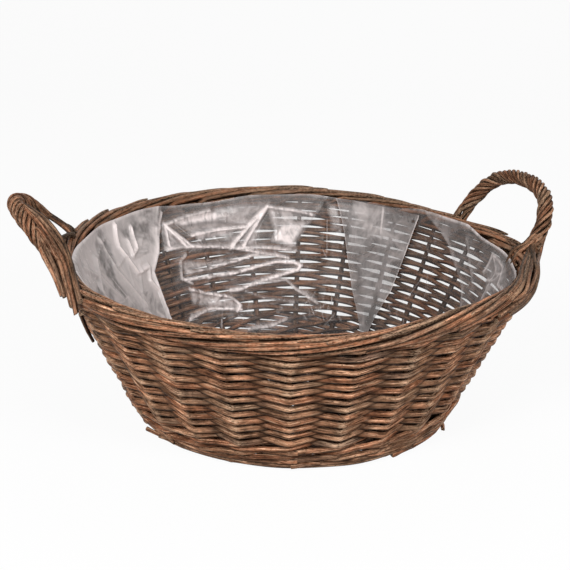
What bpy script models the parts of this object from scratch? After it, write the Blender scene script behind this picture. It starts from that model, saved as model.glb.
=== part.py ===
"""Round wicker planter basket with two twisted ear handles and a plastic film liner.

Metres, +Z up. The origin is the centre of the base, on the plane that the basket
stands on. The handles lie towards +X and -X.
"""

from math import atan, atan2, cos, hypot, pi, radians, sin

import bmesh
import bpy
from mathutils import Matrix, Vector

# Overall shape
RIM_RADIUS = 0.200          # outside of the border
BASKET_HEIGHT = 0.136       # floor to the top of the border
FOOT_RADIUS = 0.1335        # outside of the wall where it meets the floor
RIM_SET_IN = 0.0043         # the rim's outside stands this far inside the wall's own line
DRAWN_IN = 0.065            # share by which the rim is squeezed on both sides of its narrow end
DRAWN_IN_AT = radians(-15)  # direction of that narrow end

# Rods
GAP = 0.0003                # between neighbouring pieces
STICK_DIAMETER = 0.0056     # base sticks
STAKE_DIAMETER = 0.0046     # uprights at the foot
STAKE_TIP_DIAMETER = 0.0040
BASE_ROD = 0.0030           # thickness of the base weave
WEAVE_ROD = 0.0038          # thickness of the side weave
WALE_ROD = 0.0048           # thickness of the foot and top wales
ROD_ROUNDNESS = 1           # sides added to each quarter of a rod's section

# Base
STICKS_PER_LAYER = 3
STICK_FLAT = 0.0005         # depth of the flat that the middle of the base stands on
BASE_LIFT = 0.0004          # base weave above the floor
SLATH_RADIUS = 0.012        # the sticks run side by side inside this
SPREAD_RADIUS = 0.032       # and are spread out like spokes outside this
BASE_WEAVE_INNER = 0.0365
BASE_RINGS = 4
BASE_WEAVE_SET_IN = 0.0270  # the base weave ends this far inside the foot's outside
STICK_END_SET_IN = 0.0155   # and so do the sticks
STAKE_TAIL_SET_IN = 0.0245  # and the inner ends of the stakes, pushed in beside the sticks
STAKE_BEND = 0.0050         # length of the bend at the foot, on each side of its corner
STAKE_BEND_FULLNESS = 0.45  # how far the middle of the bend lies out towards the corner

# Wall, measured up the slope of the wall
FOOT_RING_TOP = 0.012
FOOT_WALE_TOP = 0.030
FOOT_WALE_COUNT = 2
TOP_WALE_HEIGHT = 0.0185
TOP_WALE_COUNT = 2
COURSES = 8
WALE_PATTERN = 3            # a wale passes behind one stake in three
COURSE_PATTERN = 2          # a course passes behind one stake in two

# Border
BORDER_HEIGHT = 0.0150      # up the slope
BORDER_WIDTH = 0.0165       # across the wall
BORDER_STROKES = 3          # rods side by side in the roll
BORDER_TURNS = 4            # times that they roll round the rim
BORDER_GROOVE = 0.10        # depth of the grooves between them, as a share of the radius
BORDER_SECTIONS = 72
BORDER_POINTS = 12

# Handles
HANDLE_ANGLE = {"right": radians(7.5), "left": radians(172.5)}
HANDLE_HALF_SPAN = {"right": radians(16), "left": radians(13.5)}  # seen from the middle
HANDLE_SET_IN = {"right": 0.0025, "left": 0.0055}                 # from the outside of the rim
HANDLE_RISE = {"right": 0.0590, "left": 0.0640}                   # of the arch, along its lean
HANDLE_LEAN = {"right": radians(32), "left": radians(37)}         # outwards from upright
HANDLE_ROUNDNESS = 0.82     # 1 is a half ellipse, less is squarer
HANDLE_START = 0.006        # the arch begins this far below the top of the border
WRAP_DIAMETER = 0.0128
WRAP_STRANDS = 5
WRAP_TURN_LENGTH = 0.056    # of handle for one turn of the strands
WRAP_GROOVE = 0.16
BOW_DIAMETER = 0.0060
HANDLE_STEPS = 31
ARCH_SAMPLES = 600
FOOT_SPREAD = 0.024         # width of the splayed rods
FOOT_THICKNESS = 0.0040
FOOT_LENGTH = 0.044         # below the top of the border
FOOT_CORNERS = 8
REACH_SAMPLES = 8
FOOT_ON_BORDER = (          # height over the border's middle, width and thickness, as shares
    (0.25, 0.62, 1.5),
    (-0.35, 0.80, 1.3),
)
FOOT_ON_WALL = (            # depth, width and thickness, as shares
    (0.65, 1.0, 1.0),
    (1.0, 0.9, 0.7),
)

# Liner
LINER_THICKNESS = 0.0005
LINER_TOP = 0.0040          # below the top of the border
LINER_CORNER = 0.010
LINER_SEGMENTS = 72
LINER_FOLDS = (             # direction, depth and half width of each fold
    (radians(52), 0.0060, radians(9)),
    (radians(100), 0.0030, radians(5)),
    (radians(123), 0.0035, radians(6)),
    (radians(150), 0.0030, radians(5)),
    (radians(-8), 0.0030, radians(6)),
    (radians(-75), 0.0025, radians(6)),
    (radians(-120), 0.0025, radians(5)),
)
FOLD_AT_FLOOR = 0.25        # share of a fold's depth that is left at the floor

# Finish
WILLOW = {
    "base_willow": (0.20, 0.115, 0.065),
    "weave_willow": (0.27, 0.155, 0.095),
    "stake_willow": (0.22, 0.125, 0.075),
    "border_willow": (0.30, 0.160, 0.090),
    "handle_willow": (0.29, 0.150, 0.085),
}
WILLOW_ROUGHNESS = 0.6
FILM = (0.62, 0.60, 0.62)
FILM_ROUGHNESS = 0.12
FILM_ALPHA = 0.35
SHARP_ANGLE = radians(50)   # edges sharper than this are shaded as creases
MERGE_DISTANCE = 0.00001


def bend_height(upright, rod, half_pitch):
    """How far the middle of a rod bends out so that its straight runs clear an upright."""
    height = (upright + rod) / 2 + GAP
    for _ in range(4):
        height = GAP + (upright + rod) / 2 / cos(atan(height / half_pitch))
    return height


# Derived sizes
STICK_ENDS = 4 * STICKS_PER_LAYER
STAKES = 2 * STICK_ENDS
END_SPACING = 2 * pi / STICK_ENDS
STAKE_SPACING = 2 * pi / STAKES
FIRST_END = STAKE_SPACING / 2
BASE_WEAVE_OUTER = FOOT_RADIUS - BASE_WEAVE_SET_IN
STICK_END_RADIUS = FOOT_RADIUS - STICK_END_SET_IN
STAKE_TAIL_RADIUS = FOOT_RADIUS - STAKE_TAIL_SET_IN
WALL_SLOPE = (RIM_RADIUS + RIM_SET_IN - FOOT_RADIUS) / BASKET_HEIGHT
WALL_LEAN = atan(WALL_SLOPE)
STAKE_HALF_PITCH = FOOT_RADIUS * STAKE_SPACING / 2
STICK_HALF_PITCH = BASE_WEAVE_INNER * END_SPACING / 2
WEAVE_OFFSET = bend_height(STAKE_DIAMETER, WEAVE_ROD, STAKE_HALF_PITCH)
WALE_OFFSET = bend_height(STAKE_DIAMETER, WALE_ROD, STAKE_HALF_PITCH)
BASE_OFFSET = bend_height(STICK_DIAMETER, BASE_ROD, STICK_HALF_PITCH)
WEAVE_REACH = WEAVE_OFFSET + WEAVE_ROD / 2
WALE_REACH = WALE_OFFSET + WALE_ROD / 2
STAKE_LINE_RADIUS = FOOT_RADIUS - WEAVE_REACH / cos(WALL_LEAN)
BORDER_SLOPE_REACH = hypot(BORDER_HEIGHT * cos(WALL_LEAN), BORDER_WIDTH * sin(WALL_LEAN)) / 2
BORDER_SIDE_REACH = hypot(BORDER_HEIGHT * sin(WALL_LEAN), BORDER_WIDTH * cos(WALL_LEAN)) / 2
BORDER_CENTRE = Vector((RIM_RADIUS - BORDER_SIDE_REACH, BASKET_HEIGHT - BORDER_SLOPE_REACH))
BORDER_SLOPE = (
    (BORDER_CENTRE.x - STAKE_LINE_RADIUS) * sin(WALL_LEAN) + BORDER_CENTRE.y * cos(WALL_LEAN)
)
BORDER_OFFSET = (
    (BORDER_CENTRE.x - STAKE_LINE_RADIUS) * cos(WALL_LEAN) - BORDER_CENTRE.y * sin(WALL_LEAN)
)
WALL_TOP = BORDER_SLOPE - BORDER_HEIGHT / 2
FOOT_RING_BOTTOM = WALE_REACH * WALL_SLOPE
STICK_PLANE = BASE_LIFT + BASE_ROD / 2 + BASE_OFFSET
BASE_TOP = STICK_PLANE + BASE_OFFSET + BASE_ROD / 2


def make_material(name, colour, roughness, alpha=1.0):
    material = bpy.data.materials.new(name)
    material.use_nodes = True
    shader = material.node_tree.nodes["Principled BSDF"]
    shader.inputs["Base Color"].default_value = (*colour, 1.0)
    shader.inputs["Roughness"].default_value = roughness
    shader.inputs["Metallic"].default_value = 0.0
    shader.inputs["Alpha"].default_value = alpha
    material.diffuse_color = (*colour, alpha)
    return material


def clear_scene():
    for thing in list(bpy.data.objects):
        bpy.data.objects.remove(thing, do_unlink=True)


def drawn_in(point):
    """The round basket pulled in on both sides of its narrow end, more towards the rim."""
    angle = atan2(point.y, point.x) - DRAWN_IN_AT
    if cos(angle) <= 0:
        return point
    rise = min(max(point.z / BASKET_HEIGHT, 0.0), 1.0)
    share = 1 - DRAWN_IN * sin(2 * angle) ** 2 * rise
    return Vector((point.x * share, point.y * share, point.z))


def woven_piece(raw, name, material, collection):
    """Turns a modelled object into a mesh in the basket's frame, with the basket's uneven shape."""
    bpy.context.view_layer.update()
    evaluated = raw.evaluated_get(bpy.context.evaluated_depsgraph_get())
    mesh = bpy.data.meshes.new_from_object(evaluated)
    place = raw.matrix_world.copy()
    source = raw.data
    bpy.data.objects.remove(raw, do_unlink=True)
    if isinstance(source, bpy.types.Curve):
        bpy.data.curves.remove(source)
    else:
        bpy.data.meshes.remove(source)
    bm = bmesh.new()
    bm.from_mesh(mesh)
    bmesh.ops.remove_doubles(bm, verts=bm.verts, dist=MERGE_DISTANCE)
    for vert in bm.verts:
        vert.co = drawn_in(place @ vert.co)
    bm.to_mesh(mesh)
    bm.free()
    mesh.materials.clear()
    mesh.materials.append(material)
    mesh.shade_smooth()
    mesh.set_sharp_from_angle(angle=SHARP_ANGLE)
    mesh.name = name
    piece = bpy.data.objects.new(name, mesh)
    collection.objects.link(piece)
    return piece


def new_object(name, data, collection):
    thing = bpy.data.objects.new(name, data)
    collection.objects.link(thing)
    return thing


def rod_curve(name, points, diameters, collection):
    """A rod along points, with its diameter at each of them."""
    curve = bpy.data.curves.new(name, "CURVE")
    curve.dimensions = "3D"
    curve.bevel_depth = 1.0
    curve.bevel_resolution = ROD_ROUNDNESS
    curve.use_fill_caps = True
    spline = curve.splines.new("POLY")
    spline.points.add(len(points) - 1)
    for target, point, diameter in zip(spline.points, points, diameters):
        target.co = (*point, 1.0)
        target.radius = diameter / 2
    return new_object(name, curve, collection)


def wall_point(slope, offset, angle):
    """A point up the slope of the wall, offset outwards from the line of the stakes."""
    radius = STAKE_LINE_RADIUS + slope * sin(WALL_LEAN) + offset * cos(WALL_LEAN)
    height = slope * cos(WALL_LEAN) - offset * sin(WALL_LEAN)
    return Vector((radius * cos(angle), radius * sin(angle), height))


def wall_reach(height):
    """Radius of the outer face of the wales at a height."""
    return STAKE_LINE_RADIUS + height * WALL_SLOPE + WALE_REACH / cos(WALL_LEAN)


def strip(name, count, thickness, place, collection):
    """A closed band of 2 * count panels: place(step, edge) gives each point, edge 0 or 1."""
    bm = bmesh.new()
    bmesh.ops.create_cone(bm, cap_ends=False, segments=2 * count, radius1=1, radius2=2, depth=1)
    for vert in bm.verts:
        step = round(atan2(vert.co.y, vert.co.x) / (pi / count)) % (2 * count)
        vert.co = place(step, 1 if vert.co.z > 0 else 0)
    bmesh.ops.recalc_face_normals(bm, faces=bm.faces)
    mesh = bpy.data.meshes.new(name)
    bm.to_mesh(mesh)
    bm.free()
    thing = new_object(name, mesh, collection)
    wall = thing.modifiers.new("thickness", "SOLIDIFY")
    wall.thickness = thickness
    wall.offset = 0.0
    return thing


def weave_sides(course, behind_every):
    """1 in front of a stake and -1 behind it, with the midway points between the stakes."""
    at_stakes = [-1 if (stake + course) % behind_every == 0 else 1 for stake in range(STAKES)]
    sides = []
    for stake, side in enumerate(at_stakes):
        sides.append(side)
        sides.append((side + at_stakes[(stake + 1) % STAKES]) / 2)
    return sides


def wall_band(name, low, high, rod, offset, sides, collection):
    def place(step, edge):
        slope = (low, high)[edge]
        return wall_point(slope, offset * sides[step], step * STAKE_SPACING / 2)

    return strip(name, STAKES, rod, place, collection)


def loft(name, sections, collection, closed=False):
    """Joins rings of points, each list one section, and caps the ends unless it is closed."""
    bm = bmesh.new()
    rings = [[bm.verts.new(point) for point in section] for section in sections]
    pairs = list(zip(rings, rings[1:]))
    if closed:
        pairs.append((rings[-1], rings[0]))
    for first, second in pairs:
        for i in range(len(first)):
            j = (i + 1) % len(first)
            bm.faces.new((first[i], first[j], second[j], second[i]))
    if not closed:
        bm.faces.new(rings[0])
        bm.faces.new(rings[-1])
    bmesh.ops.recalc_face_normals(bm, faces=bm.faces)
    mesh = bpy.data.meshes.new(name)
    bm.to_mesh(mesh)
    bm.free()
    return new_object(name, mesh, collection)


def build_base_sticks(material, collection):
    low = STICK_DIAMETER / 2 - STICK_FLAT
    layers = (("lower", FIRST_END, low), ("upper", FIRST_END + pi / 2, low + STICK_DIAMETER + GAP))
    side_step = STICK_DIAMETER + GAP
    for layer, turn, centre_height in layers:
        for number in range(STICKS_PER_LAYER):
            place = number - (STICKS_PER_LAYER - 1) / 2
            spread = place * END_SPACING
            half = []
            for radius in (SPREAD_RADIUS, STICK_END_RADIUS):
                half.append(Vector((radius * cos(spread), radius * sin(spread), STICK_PLANE)))
            inner = Vector((SLATH_RADIUS, place * side_step, centre_height))
            half.insert(0, inner)
            other = [Vector((-p.x, p.y, p.z)) for p in reversed(half)]
            points = [Matrix.Rotation(turn, 3, "Z") @ p for p in other + half]
            name = f"base_stick_{layer}_{number + 1}"
            raw = rod_curve(name + "_raw", points, [STICK_DIAMETER] * len(points), collection)
            piece = woven_piece(raw, name, material, collection)
            if layer == "lower":
                cut_flat(piece)


def cut_flat(piece):
    """Cuts a piece off at the floor."""
    bm = bmesh.new()
    bm.from_mesh(piece.data)
    every = bm.verts[:] + bm.edges[:] + bm.faces[:]
    cut = bmesh.ops.bisect_plane(
        bm, geom=every, plane_co=(0, 0, 0), plane_no=(0, 0, -1), clear_outer=True
    )
    edges = [e for e in cut["geom_cut"] if isinstance(e, bmesh.types.BMEdge)]
    bmesh.ops.holes_fill(bm, edges=edges)
    bmesh.ops.recalc_face_normals(bm, faces=bm.faces)
    bm.to_mesh(piece.data)
    bm.free()


def build_base_weave(material, collection):
    width = (BASE_WEAVE_OUTER - BASE_WEAVE_INNER) / BASE_RINGS
    for ring in range(BASE_RINGS):
        inner = BASE_WEAVE_INNER + ring * width + GAP / 2
        outer = BASE_WEAVE_INNER + (ring + 1) * width - GAP / 2

        def place(step, edge, ring=ring, inner=inner, outer=outer):
            side = 0 if step % 2 else (1 if (step // 2 + ring) % 2 else -1)
            angle = FIRST_END + step * END_SPACING / 2
            radius = (outer, inner)[edge]
            height = STICK_PLANE + side * BASE_OFFSET
            return Vector((radius * cos(angle), radius * sin(angle), height))

        name = f"base_weave_{ring + 1}"
        raw = strip(name + "_raw", STICK_ENDS, BASE_ROD, place, collection)
        woven_piece(raw, name, material, collection)


def stake_points(angle):
    """A stake's line: a level tail beside the stick end, the bend, and the run up the wall."""
    corner = STICK_PLANE / cos(WALL_LEAN)
    corner_radius = STAKE_LINE_RADIUS + STICK_PLANE * WALL_SLOPE
    direction = Vector((cos(angle), sin(angle), 0))
    tail = direction * STAKE_TAIL_RADIUS + Vector((0, 0, STICK_PLANE))
    before = direction * (corner_radius - STAKE_BEND) + Vector((0, 0, STICK_PLANE))
    after = wall_point(corner + STAKE_BEND, 0, angle)
    outermost = direction * corner_radius + Vector((0, 0, STICK_PLANE))
    bend = ((before + after) / 2).lerp(outermost, STAKE_BEND_FULLNESS)
    top = wall_point(WALL_TOP - GAP, 0, angle)
    return [tail, before, bend, after, after.lerp(top, 0.5), top]


def build_stakes(material, collection):
    middle = (STAKE_DIAMETER + STAKE_TIP_DIAMETER) / 2
    for number in range(STAKES):
        points = stake_points(number * STAKE_SPACING)
        diameters = [STAKE_DIAMETER] * (len(points) - 2) + [middle, STAKE_TIP_DIAMETER]
        name = f"stake_{number + 1:02d}"
        raw = rod_curve(name + "_raw", points, diameters, collection)
        woven_piece(raw, name, material, collection)


def build_foot(material, collection):
    outside = [1] * (2 * STAKES)
    raw = wall_band(
        "foot_ring_raw", FOOT_RING_BOTTOM, FOOT_RING_TOP, WALE_ROD, WALE_OFFSET, outside, collection
    )
    woven_piece(raw, "foot_ring", material, collection)
    build_wales("foot_wale", FOOT_WALE_COUNT, FOOT_RING_TOP, FOOT_WALE_TOP, material, collection)


def build_wales(name, count, low, high, material, collection):
    height = (high - low) / count
    for number in range(count):
        bottom = low + number * height + GAP
        sides = weave_sides(number, WALE_PATTERN)
        raw = wall_band(
            f"{name}_{number + 1}_raw", bottom, low + (number + 1) * height,
            WALE_ROD, WALE_OFFSET, sides, collection,
        )
        woven_piece(raw, f"{name}_{number + 1}", material, collection)


def build_courses(material, collection):
    top = WALL_TOP - TOP_WALE_HEIGHT
    height = (top - FOOT_WALE_TOP) / COURSES
    for number in range(COURSES):
        bottom = FOOT_WALE_TOP + number * height + GAP
        sides = weave_sides(number, COURSE_PATTERN)
        raw = wall_band(
            f"weave_course_{number + 1}_raw", bottom, FOOT_WALE_TOP + (number + 1) * height,
            WEAVE_ROD, WEAVE_OFFSET, sides, collection,
        )
        woven_piece(raw, f"weave_course_{number + 1}", material, collection)


def border_point(angle, around):
    """The rolled rim: an oval section with grooves between its rods, turning as it goes round."""
    groove = (1 - cos(BORDER_STROKES * (around - BORDER_TURNS * angle))) / 2
    reach = 1 - BORDER_GROOVE * groove
    slope = BORDER_SLOPE + (BORDER_HEIGHT / 2 - GAP) * sin(around) * reach
    offset = BORDER_OFFSET + BORDER_WIDTH / 2 * cos(around) * reach
    return wall_point(slope, offset, angle)


def border_reach(angle, half_width):
    """The largest radius of the border within half_width of a direction."""
    reach = 0.0
    for step in range(-REACH_SAMPLES, REACH_SAMPLES + 1):
        at = angle + half_width * step / REACH_SAMPLES
        for i in range(BORDER_POINTS):
            point = border_point(at, 2 * pi * i / BORDER_POINTS)
            reach = max(reach, hypot(point.x, point.y))
    return reach


def build_border(material, collection):
    sections = []
    for step in range(BORDER_SECTIONS):
        angle = 2 * pi * step / BORDER_SECTIONS
        around = [2 * pi * i / BORDER_POINTS for i in range(BORDER_POINTS)]
        sections.append([border_point(angle, turn) for turn in around])
    raw = loft("border_raw", sections, collection, closed=True)
    woven_piece(raw, "border", material, collection)


def handle_frame(side):
    """Directions of a handle: outwards, along the rim, and up in the plane of its arch."""
    turn = HANDLE_ANGLE[side]
    lean = HANDLE_LEAN[side]
    outward = Vector((cos(turn), sin(turn), 0))
    along = Vector((-sin(turn), cos(turn), 0))
    up = outward * sin(lean) + Vector((0, 0, cos(lean)))
    return outward, along, up


def handle_point(side, t):
    """A point of the arch, t from 0 at its foot on the +along side to pi at the other."""
    outward, along, up = handle_frame(side)
    radius = RIM_RADIUS - HANDLE_SET_IN[side]
    centre = outward * (radius * cos(HANDLE_HALF_SPAN[side]))
    centre = centre + Vector((0, 0, BASKET_HEIGHT - HANDLE_START))
    half_width = radius * sin(HANDLE_HALF_SPAN[side])
    across = abs(cos(t)) ** HANDLE_ROUNDNESS * (1 if cos(t) > 0 else -1)
    rise = max(sin(t), 0.0) ** HANDLE_ROUNDNESS
    return centre + along * (half_width * across) + up * (HANDLE_RISE[side] * rise)


def handle_line(side):
    """Evenly spaced points of the arch that lie clear above the border."""
    fine = [handle_point(side, pi * i / ARCH_SAMPLES) for i in range(ARCH_SAMPLES + 1)]
    lowest = BASKET_HEIGHT + WRAP_DIAMETER / 2 * sin(HANDLE_LEAN[side]) + GAP
    fine = [p for p in fine if p.z >= lowest]
    lengths = [0.0]
    for first, second in zip(fine, fine[1:]):
        lengths.append(lengths[-1] + (second - first).length)
    points = []
    at = 0
    for step in range(HANDLE_STEPS + 1):
        wanted = lengths[-1] * step / HANDLE_STEPS
        while at < len(fine) - 2 and lengths[at + 1] < wanted:
            at += 1
        span = lengths[at + 1] - lengths[at]
        points.append(fine[at].lerp(fine[at + 1], (wanted - lengths[at]) / span))
    return points, lengths[-1]


def cross_axes(points, step, normal):
    """Two directions across the line at a step, the first in the plane of the arch."""
    before = points[max(step - 1, 0)]
    after = points[min(step + 1, len(points) - 1)]
    forward = (after - before).normalized()
    return forward.cross(normal).normalized(), normal


def build_handle(side, material, collection):
    points, length = handle_line(side)
    _, along, up = handle_frame(side)
    normal = along.cross(up).normalized()
    bow = [points[0], *points[1:-1:2], points[-2], points[-1]]
    raw = rod_curve(f"{side}_handle_bow_raw", bow, [BOW_DIAMETER] * len(bow), collection)
    woven_piece(raw, f"{side}_handle_bow", material, collection)

    outer = []
    inner = []
    corners = 2 * WRAP_STRANDS
    bore = (BOW_DIAMETER / 2 + GAP) / cos(pi / corners)
    for step, point in enumerate(points):
        first, second = cross_axes(points, step, normal)
        twist = -2 * pi * length * step / HANDLE_STEPS / WRAP_TURN_LENGTH
        ring = []
        hole = []
        for i in range(corners):
            around = 2 * pi * i / corners + twist
            direction = first * cos(around) + second * sin(around)
            reach = WRAP_DIAMETER / 2 * (1 - WRAP_GROOVE * (i % 2))
            ring.append(point + direction * reach)
            hole.append(point + direction * bore)
        outer.append(ring)
        inner.append(hole)
    raw = tube(f"{side}_handle_wrap_raw", outer, inner, collection)
    woven_piece(raw, f"{side}_handle_wrap", material, collection)
    ends = {"back": (points[0], points[1]), "front": (points[-1], points[-2])}
    if side == "left":
        ends = {"front": ends["back"], "back": ends["front"]}
    for end, (last, before) in ends.items():
        build_handle_foot(f"{side}_handle_{end}_foot", last, before, material, collection)


def tube(name, outer, inner, collection):
    """A hollow loft with open ends joined from its outer to its inner face."""
    bm = bmesh.new()
    skins = []
    for sections in (outer, inner):
        skins.append([[bm.verts.new(point) for point in section] for section in sections])
    count = len(outer[0])
    for rings in skins:
        for first, second in zip(rings, rings[1:]):
            for i in range(count):
                j = (i + 1) % count
                bm.faces.new((first[i], first[j], second[j], second[i]))
    for end in (0, -1):
        for i in range(count):
            j = (i + 1) % count
            bm.faces.new((skins[0][end][i], skins[0][end][j], skins[1][end][j], skins[1][end][i]))
    bmesh.ops.recalc_face_normals(bm, faces=bm.faces)
    mesh = bpy.data.meshes.new(name)
    bm.to_mesh(mesh)
    bm.free()
    return new_object(name, mesh, collection)


def build_handle_foot(name, last, before, material, collection):
    """The rods of one handle leg, spread out over the outside of the border and the wall."""
    angle = atan2(last.y, last.x)
    down = (last - before).normalized()
    across = Vector((-sin(angle), cos(angle), 0))
    outwards = across.cross(down).normalized()
    if outwards.dot(Vector((cos(angle), sin(angle), 0))) < 0:
        outwards = -outwards
    level = across
    across = down.cross(outwards).normalized()
    if across.dot(level) < 0:
        across = -across
    reach = WRAP_DIAMETER / 2 * (1 - WRAP_GROOVE / 2)
    turns = [2 * pi * i / FOOT_CORNERS for i in range(FOOT_CORNERS)]
    start = last + down * GAP
    sections = [[start + (outwards * cos(a) + across * sin(a)) * reach for a in turns]]
    rim = border_reach(angle, FOOT_SPREAD / 2 / RIM_RADIUS)
    stages = []
    for height_share, width_share, thickness_share in FOOT_ON_BORDER:
        height = BORDER_CENTRE.y + BORDER_HEIGHT * height_share
        stages.append((height, rim, width_share, thickness_share))
    for depth_share, width_share, thickness_share in FOOT_ON_WALL:
        height = BASKET_HEIGHT - FOOT_LENGTH * depth_share
        clear_radius = wall_reach(height) + WALL_SLOPE * FOOT_THICKNESS
        stages.append((height, clear_radius, width_share, thickness_share))
    for height, clear_radius, width_share, thickness_share in stages:
        thick = FOOT_THICKNESS * thickness_share
        centre = clear_radius + GAP + thick / 2
        section = []
        for around in turns:
            radius = centre + thick / 2 * cos(around)
            turn = angle + FOOT_SPREAD / 2 * width_share * sin(around) / centre
            section.append(Vector((radius * cos(turn), radius * sin(turn), height)))
        sections.append(section)
    raw = loft(name + "_raw", sections, collection)
    woven_piece(raw, name, material, collection)


def build_liner(material, collection):
    """The film: a turned dish, folded in where it is tucked to the round wall."""
    floor = BASE_TOP + GAP + LINER_THICKNESS

    def inside(height):
        wall = STAKE_LINE_RADIUS + height * WALL_SLOPE - (WALE_REACH + GAP) / cos(WALL_LEAN)
        return min(wall, RIM_RADIUS - 2 * BORDER_SIDE_REACH - GAP)

    top = BASKET_HEIGHT - LINER_TOP
    outline = [
        (inside(top), top),
        (inside((top + floor) / 2), (top + floor) / 2),
        (inside(floor + LINER_CORNER), floor + LINER_CORNER),
        (inside(floor) - LINER_CORNER / 2, floor),
        (0.0, floor),
    ]
    across = LINER_THICKNESS / cos(WALL_LEAN)
    inner_face = [(max(radius - across, 0.0), 0, height) for radius, height in outline]
    edges = [(i, i + 1) for i in range(len(outline) - 1)]
    mesh = bpy.data.meshes.new("liner_raw")
    mesh.from_pydata(inner_face, edges, [])
    thing = new_object("liner_raw", mesh, collection)
    turned = thing.modifiers.new("turned", "SCREW")
    turned.steps = LINER_SEGMENTS
    turned.render_steps = LINER_SEGMENTS
    turned.use_merge_vertices = True
    turned.merge_threshold = MERGE_DISTANCE
    bpy.context.view_layer.update()
    folded = bpy.data.meshes.new_from_object(
        thing.evaluated_get(bpy.context.evaluated_depsgraph_get())
    )
    thing.modifiers.clear()
    thing.data = folded
    bpy.data.meshes.remove(mesh)
    for vert in folded.vertices:
        radius = hypot(vert.co.x, vert.co.y)
        share = min(max((vert.co.z - floor) / (top - floor), 0.0), 1.0)
        left = FOLD_AT_FLOOR + (1 - FOLD_AT_FLOOR) * share
        depth = fold_depth(atan2(vert.co.y, vert.co.x)) * left
        if radius > STICK_END_RADIUS / 2:
            vert.co.x *= 1 - depth / radius
            vert.co.y *= 1 - depth / radius
    wall = thing.modifiers.new("film", "SOLIDIFY")
    wall.thickness = LINER_THICKNESS
    wall.offset = 1.0
    woven_piece(thing, "liner", material, collection)


def fold_depth(angle):
    """How far the film stands in from the wall at a direction."""
    depth = 0.0
    for at, deep, half_width in LINER_FOLDS:
        away = abs((angle - at + pi) % (2 * pi) - pi)
        if away < half_width:
            depth = max(depth, deep * (1 - away / half_width))
    return depth


def main():
    clear_scene()
    collection = bpy.data.collections.new("wicker_planter_basket")
    bpy.context.scene.collection.children.link(collection)
    finish = {}
    for name, colour in WILLOW.items():
        finish[name] = make_material(name, colour, WILLOW_ROUGHNESS)
    film = make_material("liner_film", FILM, FILM_ROUGHNESS, alpha=FILM_ALPHA)
    build_base_sticks(finish["base_willow"], collection)
    build_base_weave(finish["base_willow"], collection)
    build_foot(finish["weave_willow"], collection)
    build_stakes(finish["stake_willow"], collection)
    build_courses(finish["weave_willow"], collection)
    wale_low = WALL_TOP - TOP_WALE_HEIGHT
    build_wales("top_wale", TOP_WALE_COUNT, wale_low, WALL_TOP, finish["border_willow"], collection)
    build_border(finish["border_willow"], collection)
    for side in HANDLE_ANGLE:
        build_handle(side, finish["handle_willow"], collection)
    build_liner(film, collection)


main()
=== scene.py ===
"""Round planter basket of unpeeled willow rods with two rope-twisted ear handles and a clear
film liner. Metres, +Z up, origin at the centre of the base on the plane it stands on."""

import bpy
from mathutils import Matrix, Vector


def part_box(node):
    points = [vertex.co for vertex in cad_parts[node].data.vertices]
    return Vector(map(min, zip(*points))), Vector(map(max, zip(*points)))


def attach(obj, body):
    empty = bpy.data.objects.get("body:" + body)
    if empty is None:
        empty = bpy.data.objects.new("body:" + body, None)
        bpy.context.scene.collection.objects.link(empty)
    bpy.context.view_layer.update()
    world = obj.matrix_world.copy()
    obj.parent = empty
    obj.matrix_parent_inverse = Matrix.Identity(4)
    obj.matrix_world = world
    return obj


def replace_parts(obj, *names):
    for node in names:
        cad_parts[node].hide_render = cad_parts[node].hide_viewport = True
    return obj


bl_info = {
    "name": "Wicker Planter Basket",
    "version": (1, 0, 0),
    "blender": (4, 5, 0),
    "location": "View3D > Sidebar > Planter",
    "description": "Weaves the rods, handles and liner of a wicker planter basket round its solids",
    "category": "Object",
}

from math import asin, atan, cos, pi, radians, sin, tan

import bpy
import numpy as np
from bpy.props import FloatProperty, FloatVectorProperty, IntProperty, PointerProperty
from mathutils import Matrix, Vector

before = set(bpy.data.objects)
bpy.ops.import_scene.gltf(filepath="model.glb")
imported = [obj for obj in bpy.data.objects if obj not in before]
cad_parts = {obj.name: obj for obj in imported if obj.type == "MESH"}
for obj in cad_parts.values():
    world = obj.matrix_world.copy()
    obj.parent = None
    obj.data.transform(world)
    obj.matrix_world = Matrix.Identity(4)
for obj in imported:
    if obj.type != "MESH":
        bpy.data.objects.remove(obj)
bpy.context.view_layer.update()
BORDER_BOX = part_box("border")
LINER_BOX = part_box("liner")

STAKES = 24
PITCH = 2 * pi / STAKES
BASE_ENDS = 12
ARCHES = ("right", "left")
FRONT = radians(-14.5)  # how far the side that the camera faces is turned from -Y
BORDER_TALL, BORDER_DEEP = 0.0055, 0.0061  # from the border's middle to its rods, up and out
FILM_FOOT, FILM_TOP = 0.1168, 0.1832  # the film's radius on the floor line and under the border


# Sizes and colours


def length(label, about, default):
    return FloatProperty(name=label, description=about, default=default, unit="LENGTH", precision=4)


def turn(label, about, default):
    return FloatProperty(name=label, description=about, default=radians(default), unit="ROTATION")


def share(label, about, default):
    return FloatProperty(
        name=label, description=about, default=default, subtype="FACTOR", min=0, max=1
    )


def tint(label, about, default):
    return FloatVectorProperty(
        name=label, description=about, default=default, subtype="COLOR", min=0, max=1
    )


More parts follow.
